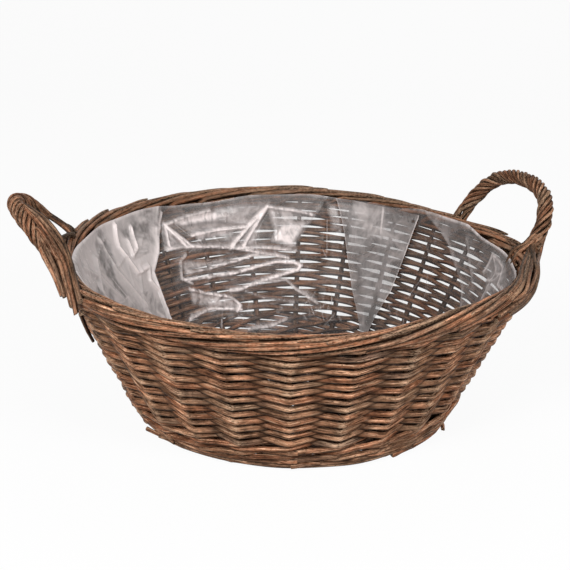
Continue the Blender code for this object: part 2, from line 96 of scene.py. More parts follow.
class PlanterShape(bpy.types.PropertyGroup):
    height: length("Height", "Floor to the top of the border", BORDER_BOX[1][2])
    foot: length("Foot radius", "Outside of the wall at the floor", 0.1335)
    lean: turn("Wall lean", "How far the wall leans out from upright", 27.5)
    drawn_in: share("Drawn in", "How far the rim is squeezed beside its narrow end", 0.065)
    narrow_end: turn("Narrow end", "Direction of the rim's narrow end", -15)
    stake_line: length("Stake line", "Radius of the stakes' line at the floor", 0.1261)
    base_level: length("Base level", "Height of the base sticks' outer ends", 0.00705)
    foot_top: length("Foot top", "Top of the foot wale, up the slope", 0.030)
    top_low: length("Top rows", "Bottom of the rows under the border, up the slope", 0.1180)
    wall_top: length("Wall top", "Top of the weave, up the slope", 0.1366)
    border_slope: length("Border slope", "Middle of the border, up the slope", 0.1441)
    border_in: length("Border set in", "Middle of the border inside the stake line", 0.0009)


class PlanterRods(bpy.types.PropertyGroup):
    stake: length("Stake", "Diameter of the upright stakes at the foot", 0.0056)
    stake_tip: length("Stake tip", "Diameter of the upright stakes under the border", 0.0038)
    weaver: length("Weaver", "Diameter of the side weave's rods at their thick end", 0.0045)
    tip: length("Weaver tip", "Diameter of the side weave's rods at their thin end", 0.0038)
    pull: length("Pull", "How far a rod is beaten down in front of a stake", 0.0019)
    wale: length("Wale", "Diameter of the foot rods", 0.0043)
    border: length("Border rod", "Diameter of the rods rolled into the border", 0.0041)
    strand: length("Handle strand", "Diameter of the rods twisted round the handles", 0.0036)
    base: length("Base weaver", "Diameter of the base's woven rods", 0.0029)
    stick: length("Base stick", "Diameter of the six crossed base sticks", 0.0056)
    rows: IntProperty(name="Rows", description="Rows of side weave", default=26, min=5, max=60)
    unevenness: length("Unevenness", "How far a rod strays from its line", 0.00045)


class PlanterHandles(bpy.types.PropertyGroup):
    right_at: turn("Right handle", "Direction of the right handle", 7.5)
    left_at: turn("Left handle", "Direction of the left handle", 172.5)
    right_span: turn("Right half span", "Half of the right handle's span from the middle", 16)
    left_span: turn("Left half span", "Half of the left handle's span from the middle", 13.5)
    right_radius: length("Right foot radius", "Where the right handle stands", 0.1975)
    left_radius: length("Left foot radius", "Where the left handle stands", 0.1945)
    right_rise: length("Right rise", "Rise of the right arch along its lean", 0.0590)
    left_rise: length("Left rise", "Rise of the left arch along its lean", 0.0618)
    right_lean: turn("Right lean", "How far the right handle leans out", 32)
    left_lean: turn("Left lean", "How far the left handle leans out", 38.5)
    right_roundness: share("Right roundness", "1 is a half ellipse, less is squarer", 0.82)
    left_roundness: share("Left roundness", "1 is a half ellipse, less is squarer", 1.0)
    right_hollow: length("Right hollow", "How far the right legs bend in below the top", 0.0)
    left_hollow: length("Left hollow", "How far the left legs bend in below the top", 0.0055)
    thickness: length("Thickness", "Thickness of the twisted handle", 0.0128)
    strands: IntProperty(name="Strands", description="Rods round a handle", default=7, min=3)
    twist: length("Twist", "Length of handle for one turn of the strands", 0.050)


class PlanterFilm(bpy.types.PropertyGroup):
    edge: length("Edge", "Height of the film's edge", LINER_BOX[1][2] + 0.0012)
    floor: length("Floor", "Height of the film over the base", LINER_BOX[0][2])
    haze: share("Haze", "How milky a single layer of the film is", 0.145)
    doubled: share("Doubled haze", "How milky the film is where it lies double", 0.74)
    across: length("Cut width", "Side of the square that the round film was cut from", 0.50)


class PlanterColours(bpy.types.PropertyGroup):
    # The dark bark colour is also the painted shade on the rods' hidden sides and stretches
    shade: tint("Dark bark", "Dark streaks and hidden sides of the bark", (0.014, 0.005, 0.002))
    brown: tint("Brown bark", "Most of the bark", (0.450, 0.226, 0.126))
    red: tint("Red bark", "Reddish rods", (0.420, 0.160, 0.078))
    grey: tint("Grey bark", "Weathered rods", (0.350, 0.230, 0.140))
    dusty: tint("Dusty bark", "Bark with a mauve bloom", (0.330, 0.225, 0.185))
    pale: tint("Bare wood", "Cut ends, cracks and worn lines", (0.74, 0.50, 0.33))
    clear: tint("Clear film", "The liner where it is single", (0.21, 0.195, 0.19))
    milky: tint("Milky film", "The liner where it lies double", (0.52, 0.468, 0.455))
    glint: tint("Film glint", "Lit folds of the liner", (0.86, 0.76, 0.74))
    ground: tint("Ground", "Floor and backdrop", (0.90, 0.90, 0.90))


GROUPS = {
    "planter_shape": PlanterShape,
    "planter_rods": PlanterRods,
    "planter_handles": PlanterHandles,
    "planter_film": PlanterFilm,
    "planter_colours": PlanterColours,
}


def sizes(name):
    """One of the groups of sizes or colours above."""
    return getattr(bpy.context.scene, f"planter_{name}")


# Places on the basket


def polar(radius, angle, height):
    """Points given by radius, direction and height."""
    return np.stack([radius * np.cos(angle), radius * np.sin(angle), height], -1)


def unit(vectors, least=0.001):
    """Vectors brought to length 1; the ones shorter than least stay shorter than that."""
    return vectors / np.maximum(np.linalg.norm(vectors, axis=-1, keepdims=True), least)


def far_along(line):
    """How far along a line each of its points lies."""
    return np.concatenate([[0], np.cumsum(np.linalg.norm(np.diff(line, axis=0), axis=1))])


def near(distance, width):
    """1 at no distance, fading out over a width on both sides."""
    return np.exp(-((distance / width) ** 2))


def zigzag(wave, sharpness):
    """A sine wave drawn out to almost straight runs between its crests."""
    return np.arcsin(sharpness * wave) / asin(sharpness)


def compass(angle):
    """Directions in degrees, from -40 to 320, so that the back is one unbroken stretch."""
    return np.mod(np.degrees(angle) + 40, 360) - 40


def squeezed(points):
    """The round basket pulled in on both sides of its narrow end, more towards the rim."""
    shape = sizes("shape")
    away = np.arctan2(points[..., 1], points[..., 0]) - shape.narrow_end
    rise = np.clip(points[..., 2] / shape.height, 0, 1)
    keep = np.where(np.cos(away) > 0, 1 - shape.drawn_in * np.sin(2 * away) ** 2 * rise, 1.0)
    return points * np.stack([keep, keep, np.ones_like(keep)], -1)


def on_wall(slope, offset, angle):
    """Points up the slope of the wall, offset outwards from the line of the stakes."""
    shape = sizes("shape")
    slope, offset, angle = np.broadcast_arrays(slope, offset, angle)
    angle = angle + 0.012 * np.sin(4 * angle + 0.7) * np.clip(slope / shape.wall_top, 0, 1)
    radius = shape.stake_line + slope * sin(shape.lean) + offset * cos(shape.lean)
    height = slope * cos(shape.lean) - offset * sin(shape.lean)
    return polar(radius, angle, height).astype(float)


def clearing(upright, rod):
    """How far the middle of a rod bends out so that its straight runs clear an upright."""
    away = (upright + rod) / 2
    half_pitch = sizes("shape").foot * PITCH / 2
    for _ in range(4):
        away = (upright + rod) / 2 / cos(atan(away / half_pitch))
    return away


def drift(rng, at, amount, waves=3.0):
    """A slow random wander of a rod from its line."""
    total = np.zeros_like(at)
    for step in range(1, 4):
        total += np.sin(waves * step * at + rng.uniform(0, 2 * pi)) / step
    return amount * total / 1.5


def smooth_line(points, step=0.003):
    """An even, smooth line through a few points."""
    points = np.asarray(points, float)
    ends = np.vstack([2 * points[0] - points[1], points, 2 * points[-1] - points[-2]])
    line = []
    for i in range(len(points) - 1):
        a, b, c, d = ends[i : i + 4]
        count = max(2, int(np.linalg.norm(c - b) / step))
        t = np.linspace(0, 1, count, endpoint=False)[:, None]
        line.append(
            0.5
            * (
                2 * b
                + (c - a) * t
                + (2 * a - 5 * b + 4 * c - d) * t**2
                + (3 * b - a - 3 * c + d) * t**3
            )
        )
    line.append(points[-1:])
    return np.vstack(line)


# Rods


def directions(line):
    """Directions along a line and two across it, which turn no more than the line does."""
    forward = unit(np.gradient(line, axis=0), 1e-9)
    side = np.zeros_like(line)
    start = np.cross(forward[0], (0.0, 0.0, 1.0) if abs(forward[0][2]) < 0.9 else (1.0, 0, 0))
    side[0] = start / np.linalg.norm(start)
    for i in range(1, len(line)):
        moved = side[i - 1] - forward[i] * (side[i - 1] @ forward[i])
        side[i] = moved / np.linalg.norm(moved)
    return forward, side, np.cross(forward, side)


def mark(mesh, label, values, domain="POINT"):
    """Gives each point or face of a mesh a number that its material reads by name."""
    held = mesh.attributes.new(label, "FLOAT", domain)
    held.data.foreach_set("value", np.ascontiguousarray(values, dtype=float).ravel())


def placed(name, mesh, material):
    """Puts a mesh into the scene as a piece of the basket."""
    mesh.materials.append(material)
    thing = bpy.data.objects.new(name, mesh)
    bpy.context.scene.collection.objects.link(thing)
    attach(thing, "root")
    return thing


class Bundle:
    """Rods gathered into one mesh, with what their bark needs: each point's place along and
    round its own rod, the rod's tone, where the bark is worn or cut, and its painted shade."""

    def __init__(self, seed):
        self.rng = np.random.default_rng(seed)
        self.points, self.quads, self.ends = [], [], []
        self.grain, self.tone, self.wear, self.depth = [], [], [], []
        self.count = 0

    def rod(self, line, diameter, tone=None, wear=0.0, depth=0.0, sides=8, face=None):
        """Adds one rod; face points to its open side, and its other sides get painted shade."""
        line = np.asarray(line, float)
        n = len(line)
        along = far_along(line)
        radius = np.broadcast_to(np.asarray(diameter, float) / 2, (n,)).copy()
        knots = self.rng.uniform(0, along[-1], max(1, int(along[-1] / 0.06)))
        for knot in knots:
            radius *= 1 + 0.11 * near(along - knot, 0.0022)
        forward, side, up = directions(line)
        around = np.arange(sides) * 2 * pi / sides + self.rng.uniform(0, 1)
        c, s = np.cos(around)[None, :, None], np.sin(around)[None, :, None]
        normal = c * side[:, None] + s * up[:, None]
        ring = line[:, None] + radius[:, None, None] * normal
        for end, slant in zip((0, -1), self.rng.uniform(-0.5, 0.5, 2)):
            ring[end] += forward[end] * (np.cos(around) * radius[end] * slant)[:, None]
        self.points.append(ring.reshape(-1, 3))
        place = self.rng.uniform(0, 40, 3)
        grain = np.empty((n, sides, 3))
        grain[..., 0] = radius[:, None] * np.cos(around) + place[0]
        grain[..., 1] = radius[:, None] * np.sin(around) + place[1]
        grain[..., 2] = along[:, None] + place[2]
        self.grain.append(grain.reshape(-1, 3))
        tone = self.rng.uniform(0, 1) if tone is None else tone
        self.tone.append(np.full(n * sides, tone))
        self.wear.append(np.repeat(np.broadcast_to(wear, (n,)), sides))
        # Painted shade on the sides turned away from the open side, or on the hidden sides in the wall
        if face is None:
            hidden = self.painted_crevice_shade(line, normal)
        else:
            hidden = 1.75 - 2.0 * np.sum(normal * face[:, None], -1)
        # Painted shade given along the rod where it is hidden, or on its hidden sides, whichever is
        # darker
        deep = np.broadcast_to(depth, (n,))[:, None]
        self.depth.append(np.maximum(deep, np.clip(hidden, 0, 1) * 0.97).ravel())
        i = np.arange(n - 1)[:, None] * sides
        j = np.arange(sides)[None, :]
        k = (j + 1) % sides
        quad = np.stack([i + j, i + k, i + sides + k, i + sides + j], -1).reshape(-1, 4)
        self.quads.append(quad + self.count)
        first = np.arange(sides)[::-1] + self.count
        self.ends += [first, first[::-1] + (n - 1) * sides]
        self.count += n * sides

    def painted_crevice_shade(self, line, normal):
        """Painted shade on the sides of a rod in the wall: none where it is open inwards, outwards and
        above.
        """
        lean = sizes("shape").lean
        out = unit(line * (1, 1, 0))
        face = out * cos(lean) - np.array([0, 0, sin(lean)])
        rise = out * sin(lean) + np.array([0, 0, cos(lean)])
        open_side = np.abs(np.sum(normal * face[:, None], -1))
        above = np.sum(normal * rise[:, None], -1)
        return (1.00 - 0.8 * open_side - 0.85 * above) / 0.75

    def piece(self, name, material, slot, nodes):
        """Makes one piece of the rods, which stands for the named nodes."""
        points = squeezed(np.vstack(self.points))
        points[:, 2] = np.maximum(points[:, 2], 0.0)
        quads = np.vstack(self.quads)
        mesh = bpy.data.meshes.new(name)
        loops = np.concatenate([quads.ravel(), *self.ends])
        totals = np.array([4] * len(quads) + [len(end) for end in self.ends])
        mesh.vertices.add(len(points))
        mesh.vertices.foreach_set("co", points.ravel())
        mesh.loops.add(len(loops))
        mesh.loops.foreach_set("vertex_index", loops)
        mesh.polygons.add(len(totals))
        mesh.polygons.foreach_set("loop_start", np.concatenate([[0], np.cumsum(totals)[:-1]]))
        mesh.update(calc_edges=True)
        mesh.validate()
        spread = mesh.attributes.new("grain", "FLOAT_VECTOR", "POINT")
        spread.data.foreach_set("vector", np.vstack(self.grain).ravel())
        for label, values in (("tone", self.tone), ("wear", self.wear), ("depth", self.depth)):
            mark(mesh, label, np.concatenate(values))
        mark(mesh, "cut", [0.0] * len(quads) + [1.0] * len(self.ends), "FACE")
        mesh.shade_smooth()
        mesh.set_sharp_from_angle(angle=radians(55))
        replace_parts(placed(name, mesh, material), *nodes)


# Finishes


class Nodes:
    """Short hands for building one material's node tree."""

    def __init__(self, name):
        self.material = bpy.data.materials.new(name)
        self.material.use_nodes = True
        self.tree = self.material.node_tree
        self.shader = self.tree.nodes["Principled BSDF"]

    def add(self, kind, **settings):
        node = self.tree.nodes.new(f"ShaderNode{kind}")
        for key, value in settings.items():
            setattr(node, key, value)
        return node

    def link(self, source, target):
        self.tree.links.new(source, target)

    def put(self, socket, value):
        if isinstance(value, bpy.types.NodeSocket):
            self.link(value, socket)
        else:
            socket.default_value = value

    def attribute(self, name, vector=False):
        node = self.add("Attribute", attribute_name=name)
        return node.outputs["Vector" if vector else "Fac"]

    def math(self, operation, a, b=0.0, clamp=False):
        node = self.add("Math", operation=operation, use_clamp=clamp)
        self.put(node.inputs[0], a)
        self.put(node.inputs[1], b)
        return node.outputs[0]

    def stretched(self, vector, scale):
        node = self.add("Mapping")
        self.link(vector, node.inputs["Vector"])
        node.inputs["Scale"].default_value = scale
        return node.outputs[0]

    def noise(self, vector, scale, detail=2.0, roughness=0.5, distortion=0.0):
        """Noise with its own scale along each direction of the vector."""
        node = self.add("TexNoise")
        self.link(self.stretched(vector, scale), node.inputs["Vector"])
        node.inputs["Scale"].default_value = 1.0
        node.inputs["Detail"].default_value = detail
        node.inputs["Roughness"].default_value = roughness
        node.inputs["Distortion"].default_value = distortion
        return node.outputs["Fac"]

    def levels(self, value, low, high, bottom=0.0, top=1.0):
        """A value stretched from low and high to bottom and top, and no further."""
        node = self.add("MapRange", clamp=True)
        self.put(node.inputs["Value"], value)
        limits = {"From Min": low, "From Max": high, "To Min": bottom, "To Max": top}
        for name, number in limits.items():
            node.inputs[name].default_value = number
        return node.outputs[0]

    def mix(self, amount, a, b, blend="MIX"):
        node = self.add("Mix", data_type="RGBA", blend_type=blend)
        self.put(node.inputs["Factor"], amount)
        for name, value in (("A", a), ("B", b)):
            socket = [s for s in node.inputs if s.name == name and s.type == "RGBA"][0]
            self.put(socket, value if isinstance(value, bpy.types.NodeSocket) else (*value, 1.0))
        return [s for s in node.outputs if s.type == "RGBA"][0]


def bark(name, redness, lightness=1.0, roughness=0.5):
    """Unpeeled willow: streaks along the rod, weathered and reddish rods, knots, pale cracks, and
    painted shade.
    """
    colours = sizes("colours")
    n = Nodes(name)
    grain = n.attribute("grain", vector=True)
    streaks = n.noise(grain, (900, 900, 36), 5, 0.68, 0.4)
    patches = n.noise(grain, (70, 70, 26), 3, 0.6)
    specks = n.noise(grain, (1300, 1300, 420), 3, 0.65)
    tone = n.attribute("tone")
    lean = n.math("ADD", n.math("MULTIPLY", tone, 0.75), n.math("MULTIPLY", patches, 0.7))
    warm = n.levels(lean, 1.05 - redness, 1.45 - redness, 0, 0.9)
    cool = n.levels(lean, 0.52, 0.22, 0, 0.8)
    body = n.mix(warm, tuple(colours.brown), tuple(colours.red))
    dusty = n.levels(n.noise(grain, (40, 40, 12), 2, 0.5), 0.45, 0.60)
    body = n.mix(cool, body, n.mix(dusty, tuple(colours.grey), tuple(colours.dusty)))
    # Pale streaks: partly the bark's own paler streaks, partly painted highlight
    lit = n.mix(n.levels(streaks, 0.52, 0.67, 0, 0.85), body, tuple(colours.pale))
    streaked = n.levels(streaks, 0.57, 0.39, 0, 0.95)
    speckled = n.levels(specks, 0.49, 0.34, 0, 0.88)
    dark = n.math("MAXIMUM", streaked, speckled)
    # Painted shade from the rods' attribute darkens their hidden sides and stretches towards the dark
    # bark colour
    dark = n.math("MAXIMUM", dark, n.math("MULTIPLY", n.attribute("depth"), 1.05, clamp=True))
    toned = n.mix(dark, lit, tuple(colours.shade))
    blotches = n.levels(n.noise(grain, (130, 130, 75), 3, 0.6), 0.36, 0.62, 0.45, 1.30)
    level = n.math("MULTIPLY", n.levels(tone, 0, 1, 0.78, 1.16), blotches)
    level = n.math("MULTIPLY", level, lightness)
    grey_level = n.add("CombineColor")
    for channel in range(3):
        n.link(level, grey_level.inputs[channel])
    toned = n.mix(1.0, toned, grey_level.outputs[0], "MULTIPLY")
    cracked = n.math("MULTIPLY", n.attribute("wear"), n.levels(specks, 0.44, 0.60), clamp=True)
    toned = n.mix(cracked, toned, tuple(colours.pale))
    rings = n.mix(n.levels(specks, 0.35, 0.65), tuple(colours.shade), tuple(colours.pale))
    toned = n.mix(n.math("MULTIPLY", n.attribute("cut"), 0.75), toned, rings)
    n.link(toned, n.shader.inputs["Base Color"])
    worn_smooth = n.levels(streaks, 0.3, 0.7, roughness + 0.12, roughness - 0.10)
    n.link(worn_smooth, n.shader.inputs["Roughness"])
    n.shader.inputs["Specular IOR Level"].default_value = 0.06
    bump = n.add("Bump")
    bump.inputs["Strength"].default_value = 0.8
    bump.inputs["Distance"].default_value = 0.0005
    n.link(n.math("ADD", streaks, n.math("MULTIPLY", specks, 0.6)), bump.inputs["Height"])
    n.link(bump.outputs[0], n.shader.inputs["Normal"])
    return n.material


def clear_film(name):
    """Thin clear film: glossy, see-through, milky where it lies double, with painted highlights on its
    folds.
    """
    colours = sizes("colours")
    n = Nodes(name)
    place = n.add("TexCoord").outputs["Object"]
    cloud = n.noise(place, (34, 34, 26), 3, 0.6, 0.6)
    fine = n.noise(place, (260, 260, 130), 2, 0.5)
    haze = n.math("MULTIPLY", n.attribute("haze"), n.levels(cloud, 0.34, 0.64, 0.70, 1.18))
    # Painted highlights on the folds and edges, broken up by the sheen noise, whiten the colour and
    # make it more opaque
    sheen = n.noise(place, (120, 120, 45), 3, 0.62, 1.2)
    lit = n.math("MULTIPLY", n.attribute("lit"), n.levels(sheen, 0.34, 0.62, 0.55, 1.20), clamp=True)
    edge = n.add("LayerWeight")
    edge.inputs["Blend"].default_value = 0.35
    grazing = n.levels(edge.outputs["Facing"], 0.45, 0.95, 0.0, 0.4)
    alpha = n.math("ADD", n.math("ADD", haze, grazing), n.math("MULTIPLY", lit, 0.85), clamp=True)
    open_air = n.math("SUBTRACT", 1.0, n.attribute("hole"), clamp=True)
    colour = n.mix(n.levels(haze, 0.70, 0.98), tuple(colours.clear), tuple(colours.milky))
    mottled = n.levels(n.noise(place, (60, 60, 42), 4, 0.7, 1.4), 0.36, 0.64, 0.0, 0.32)
    colour = n.mix(mottled, colour, tuple(colours.glint))
    colour = n.mix(lit, colour, tuple(colours.glint))
    n.link(colour, n.shader.inputs["Base Color"])
    n.link(n.math("MULTIPLY", alpha, open_air), n.shader.inputs["Alpha"])
    n.link(n.levels(fine, 0.3, 0.7, 0.16, 0.28), n.shader.inputs["Roughness"])
    n.shader.inputs["IOR"].default_value = 1.6
    n.shader.inputs["Specular IOR Level"].default_value = 0.22
    bump = n.add("Bump")
    bump.inputs["Strength"].default_value = 0.35
    bump.inputs["Distance"].default_value = 0.0016
    n.link(n.math("ADD", cloud, n.math("MULTIPLY", fine, 0.10)), bump.inputs["Height"])
    n.link(bump.outputs[0], n.shader.inputs["Normal"])
    return n.material


def finish_named(name, redness, lightness, roughness=0.5):
    """The bark of that name, made when it is first asked for."""
    return bpy.data.materials.get(name) or bark(name, redness, lightness, roughness)


# Pieces


class PLANTER_OT_base(bpy.types.Operator):
    """Crosses the six base sticks, spreads them like spokes and weaves the rods round them"""

    bl_idname = "planter.base"
    bl_label = "Base"

    def execute(self, context):
        rough = finish_named("base_bark", 0.3, 0.85, 0.6)
        self.cross(rough)
        self.rounds(rough)
        return {"FINISHED"}

    def cross(self, rough):
        """Three sticks over three, side by side in the middle and spread like spokes."""
        shape, rods = sizes("shape"), sizes("rods")
        sticks, gap = Bundle(11), 0.0003
        half_cross, spokes = 0.012, (0.032, 0.075, 0.118)
        low = rods.stick / 2 - 0.0005
        for layer, level in enumerate((low, low + rods.stick + gap)):
            angle = PITCH / 2 + layer * pi / 2
            c, s = cos(angle), sin(angle)
            turned = np.array([[c, -s, 0], [s, c, 0], [0, 0, 1]])
            for number in (-1, 0, 1):
                spread = number * 2 * pi / BASE_ENDS
                half = [(half_cross, number * (rods.stick + gap), level)]
                for radius in spokes:
                    half.append((radius * cos(spread), radius * sin(spread), shape.base_level))
                line = np.array([(-x, y, z) for x, y, z in reversed(half)] + half)
                sticks.rod(smooth_line(line @ turned.T), rods.stick)
        nodes = [f"base_stick_{layer}_{i}" for layer in ("lower", "upper") for i in (1, 2, 3)]
        sticks.piece("base_sticks", rough, "base_willow", nodes)

    def rounds(self, rough):
        """Rounds of thin rods, over one spoke and under the next."""
        shape, rods = sizes("shape"), sizes("rods")
        weave = Bundle(12)
        radius, last, count = 0.0375, 0.1165, 0
        while radius < last:
            away = 0.00435 if radius > 0.045 else 0.0046
            start = weave.rng.uniform(0, 2 * pi)
            angle = np.arange(0, 2 * pi + 0.3, 2 * pi / 144) + start
            side = np.sin(BASE_ENDS * (angle - PITCH / 2) / 2 + pi / 2 + pi * count)
            width = np.linspace(rods.base * 1.08, rods.base * 0.86, len(angle))
            reach = radius + drift(weave.rng, angle, 0.0003)
            height = shape.base_level + zigzag(side, 0.94) * away
            weave.rod(polar(reach, angle, height), width, sides=6)
            radius += rods.base * 1.04
            count += 1
        weave.piece("base_weave", rough, "base_willow", [f"base_weave_{i}" for i in (1, 2, 3, 4)])


class PLANTER_OT_stakes(bpy.types.Operator):
    """Sets the 24 stakes: a level tail beside the base sticks, a bend and a run up the wall"""

    bl_idname = "planter.stakes"
    bl_label = "Stakes"

    def execute(self, context):
        shape, rods = sizes("shape"), sizes("rods")
        stakes = Bundle(21)
        bend = 0.005  # from the corner of floor and wall to where the stake runs straight
        corner = shape.base_level / cos(shape.lean)
        reach = shape.stake_line + shape.base_level * tan(shape.lean)
        slopes = np.linspace(corner + bend, shape.wall_top + 0.002, 14)
        level = np.array([0, 0, shape.base_level])
        for number in range(STAKES):
            angle = number * PITCH
            out = np.array([cos(angle), sin(angle), 0])
            tail = [out * r + level for r in (0.109, 0.117, reach - bend)]
            rise = on_wall(slopes, drift(stakes.rng, slopes * 30, 0.0001), angle)
            line = smooth_line(np.vstack([tail, rise]), 0.004)
            # The stakes are darkened with painted shade, as they show only in the gaps between rods
            stakes.rod(line, np.linspace(rods.stake, rods.stake_tip, len(line)), depth=0.70)
        names = [f"stake_{i + 1:02d}" for i in range(STAKES)]
        stakes.piece("stakes", finish_named("stake_bark", 0.3, 0.9), "stake_willow", names)
        return {"FINISHED"}


def beaten(angle):
    """How open the weave is round the basket, closest at the back left."""
    places = (-40, -24, -12, 40, 70, 92, 180, 200, 320)
    openness = (0.68, 0.68, 0.80, 0.66, 0.46, 0.20, 0.10, 0.68, 0.68)
    return np.interp(compass(angle), places, openness)


def slotted(angle):
    """1 where the rods keep apart all the way from one stake to the next, at the right back."""
    return np.interp(compass(angle), (-28, -14, 100, 130), (0, 1, 1, 0))


def facing_in(angle):
    """1 where the wall is seen from the inside, at the back, 0 at the front."""
    return np.clip(0.5 + 1.2 * np.sin(angle + radians(14)), 0, 1)


def randed(bundle, low, high, first, last):
    """Rows of plain weave, numbered from the foot: each rod in front of one stake, then behind."""
    rods, rng = sizes("rods"), bundle.rng
    pitch = (high - low) / (last - first)
    # A row is one rod, once round and a bit more; its steps are counted in stakes
    before, turn_end = 0.4, STAKES + 1.4
    steps = np.arange(-before, turn_end, 1 / 12)
    ending = np.minimum(steps + before, turn_end - steps)
    for row in range(first, last):
        level = low + (row - first + 0.5) * pitch + rng.normal(0, 0.0003)
        climb = row / rods.rows
        thick, thin = rods.weaver * rng.uniform(0.87, 1.10), rods.tip * rng.uniform(0.88, 1.15)
        away = clearing(rods.stake + (rods.stake_tip - rods.stake) * climb, (thick + thin) / 2)
        away *= 1 - 0.22 * climb  # the upper rods lie closer to the stakes
        begin = rng.integers(0, STAKES)
        angle = (begin + steps) * PITCH
        side = zigzag(np.sin(pi * (begin + steps) + pi / 2 + pi * row), 0.992)
        slot = slotted(angle)
        # Both ends are tucked in behind the row
        tuck = 0.0018 * near(ending, 0.5)
        offset = side * away - tuck + drift(rng, angle, rods.unevenness * 0.5, 7)
        slope = level + drift(rng, angle, rods.unevenness, 5)
        # It is beaten down in front of a stake and up behind it, less so close to the border
        near_border = np.clip((1 - climb) / 0.12, 0, 1)
        apart = side**3 + slot * (np.tanh(2.6 * side) - side**3)
        slope -= apart * rods.pull * (1 - 0.3 * climb) * beaten(angle) * near_border
        # Where the rod's end passes its start, it runs below it
        slope += 0.0007 * (near(steps, 0.9) - near(turn_end - steps, 0.9))
        width = np.linspace(thick, thin, len(steps)) * (1.16 - 0.17 * beaten(angle))
        width *= 1 + 0.22 * (1 - side**2) * (1 - slot)
        wear = np.clip((side - 0.72) / 0.28, 0, 1) ** 2 * rng.uniform(0.0, 0.8)
        # Painted shade on the stretches behind the stakes, less where the wall is seen from the inside,
        # and on the rods at the right back
        depth = np.clip((0.60 - side) / 0.9, 0, 0.97) * (1 - 0.5 * facing_in(angle))
        depth = np.maximum(depth, 0.62 * slot)
        bundle.rod(on_wall(slope, offset, angle), width, wear=wear, depth=depth)


def split_row():
    """The first row that belongs to the rows under the border."""
    shape = sizes("shape")
    part = (shape.top_low - shape.foot_top) / (shape.wall_top - shape.foot_top)
    return round(sizes("rods").rows * part)


def filler(bundle, level, offset, diameter, stray):
    """A rod behind the front stakes, dark with painted shade, where light would else show between two
    bands.
    """
    angle = np.linspace(radians(-185), radians(5), 160)
    slope = level + drift(bundle.rng, angle, stray, 4)
    bundle.rod(on_wall(slope, offset, angle), diameter, tone=0.1, depth=0.7)


class PLANTER_OT_side_weave(bpy.types.Operator):
    """Weaves the side, each rod in front of one stake and behind the next"""

    bl_idname = "planter.side_weave"
    bl_label = "Side weave"

    def execute(self, context):
        shape = sizes("shape")
        weave = Bundle(31)
        randed(weave, shape.foot_top - 0.0010, shape.top_low, 0, split_row())
        names = [f"weave_course_{i}" for i in range(1, 9)]
        weave.piece("side_weave", finish_named("weave_bark", 0.28, 1.14), "weave_willow", names)
        return {"FINISHED"}


def waled(bundle, low, high, rod, first_stake):
    """One round of wale: three rods, each in front of two stakes and behind one, slanting up."""
    rng = bundle.rng
    middle = (low + high) / 2
    swing = ((high - low) / 2 + 0.0004) * 1.25
    away = clearing(sizes("rods").stake, rod)
    parts = STAKES // 3
    for number in range(3):
        ends = sorted(rng.choice(parts, 4, replace=False))
        for i, begin in enumerate(ends):
            until = ends[(i + 1) % 4] + (parts if i == 3 else 0)
            steps = np.arange(3 * begin + 0.35, 3 * until + 1.25, 1 / 12)
            at = np.mod(steps, 3)
            side = np.interp(at, (0, 0.5, 1.0, 1.5, 2.0, 2.5, 3), (-1, 0.1, 1, 0.85, 1, 0.1, -1))
            rise = np.interp(at, (0, 0.5, 2.5, 3), (0.5, 0.0, 1.0, 0.5))
            angle = (steps + number + first_stake) * PITCH
            offset = side * away + drift(rng, angle, 0.0004, 6)
            slope = middle + swing * (2 * rise - 1) * 0.75 + drift(rng, angle, 0.0006, 4)
            slope += rng.normal(0, 0.0003)
            ending = np.minimum(steps - steps[0], steps[-1] - steps)
            offset = offset + 0.0016 * near(ending, 0.3)
            width = rod * np.linspace(1.12, 0.82, len(steps)) * rng.uniform(0.92, 1.06)
            wear = np.clip((side - 0.9) / 0.1, 0, 1) * 0.25
            # Painted shade where the rod runs behind a stake
            depth = 0.8 * np.clip((0.30 - side) / 0.9, 0, 1)
            bundle.rod(on_wall(slope, offset, angle), width, wear=wear, depth=depth)


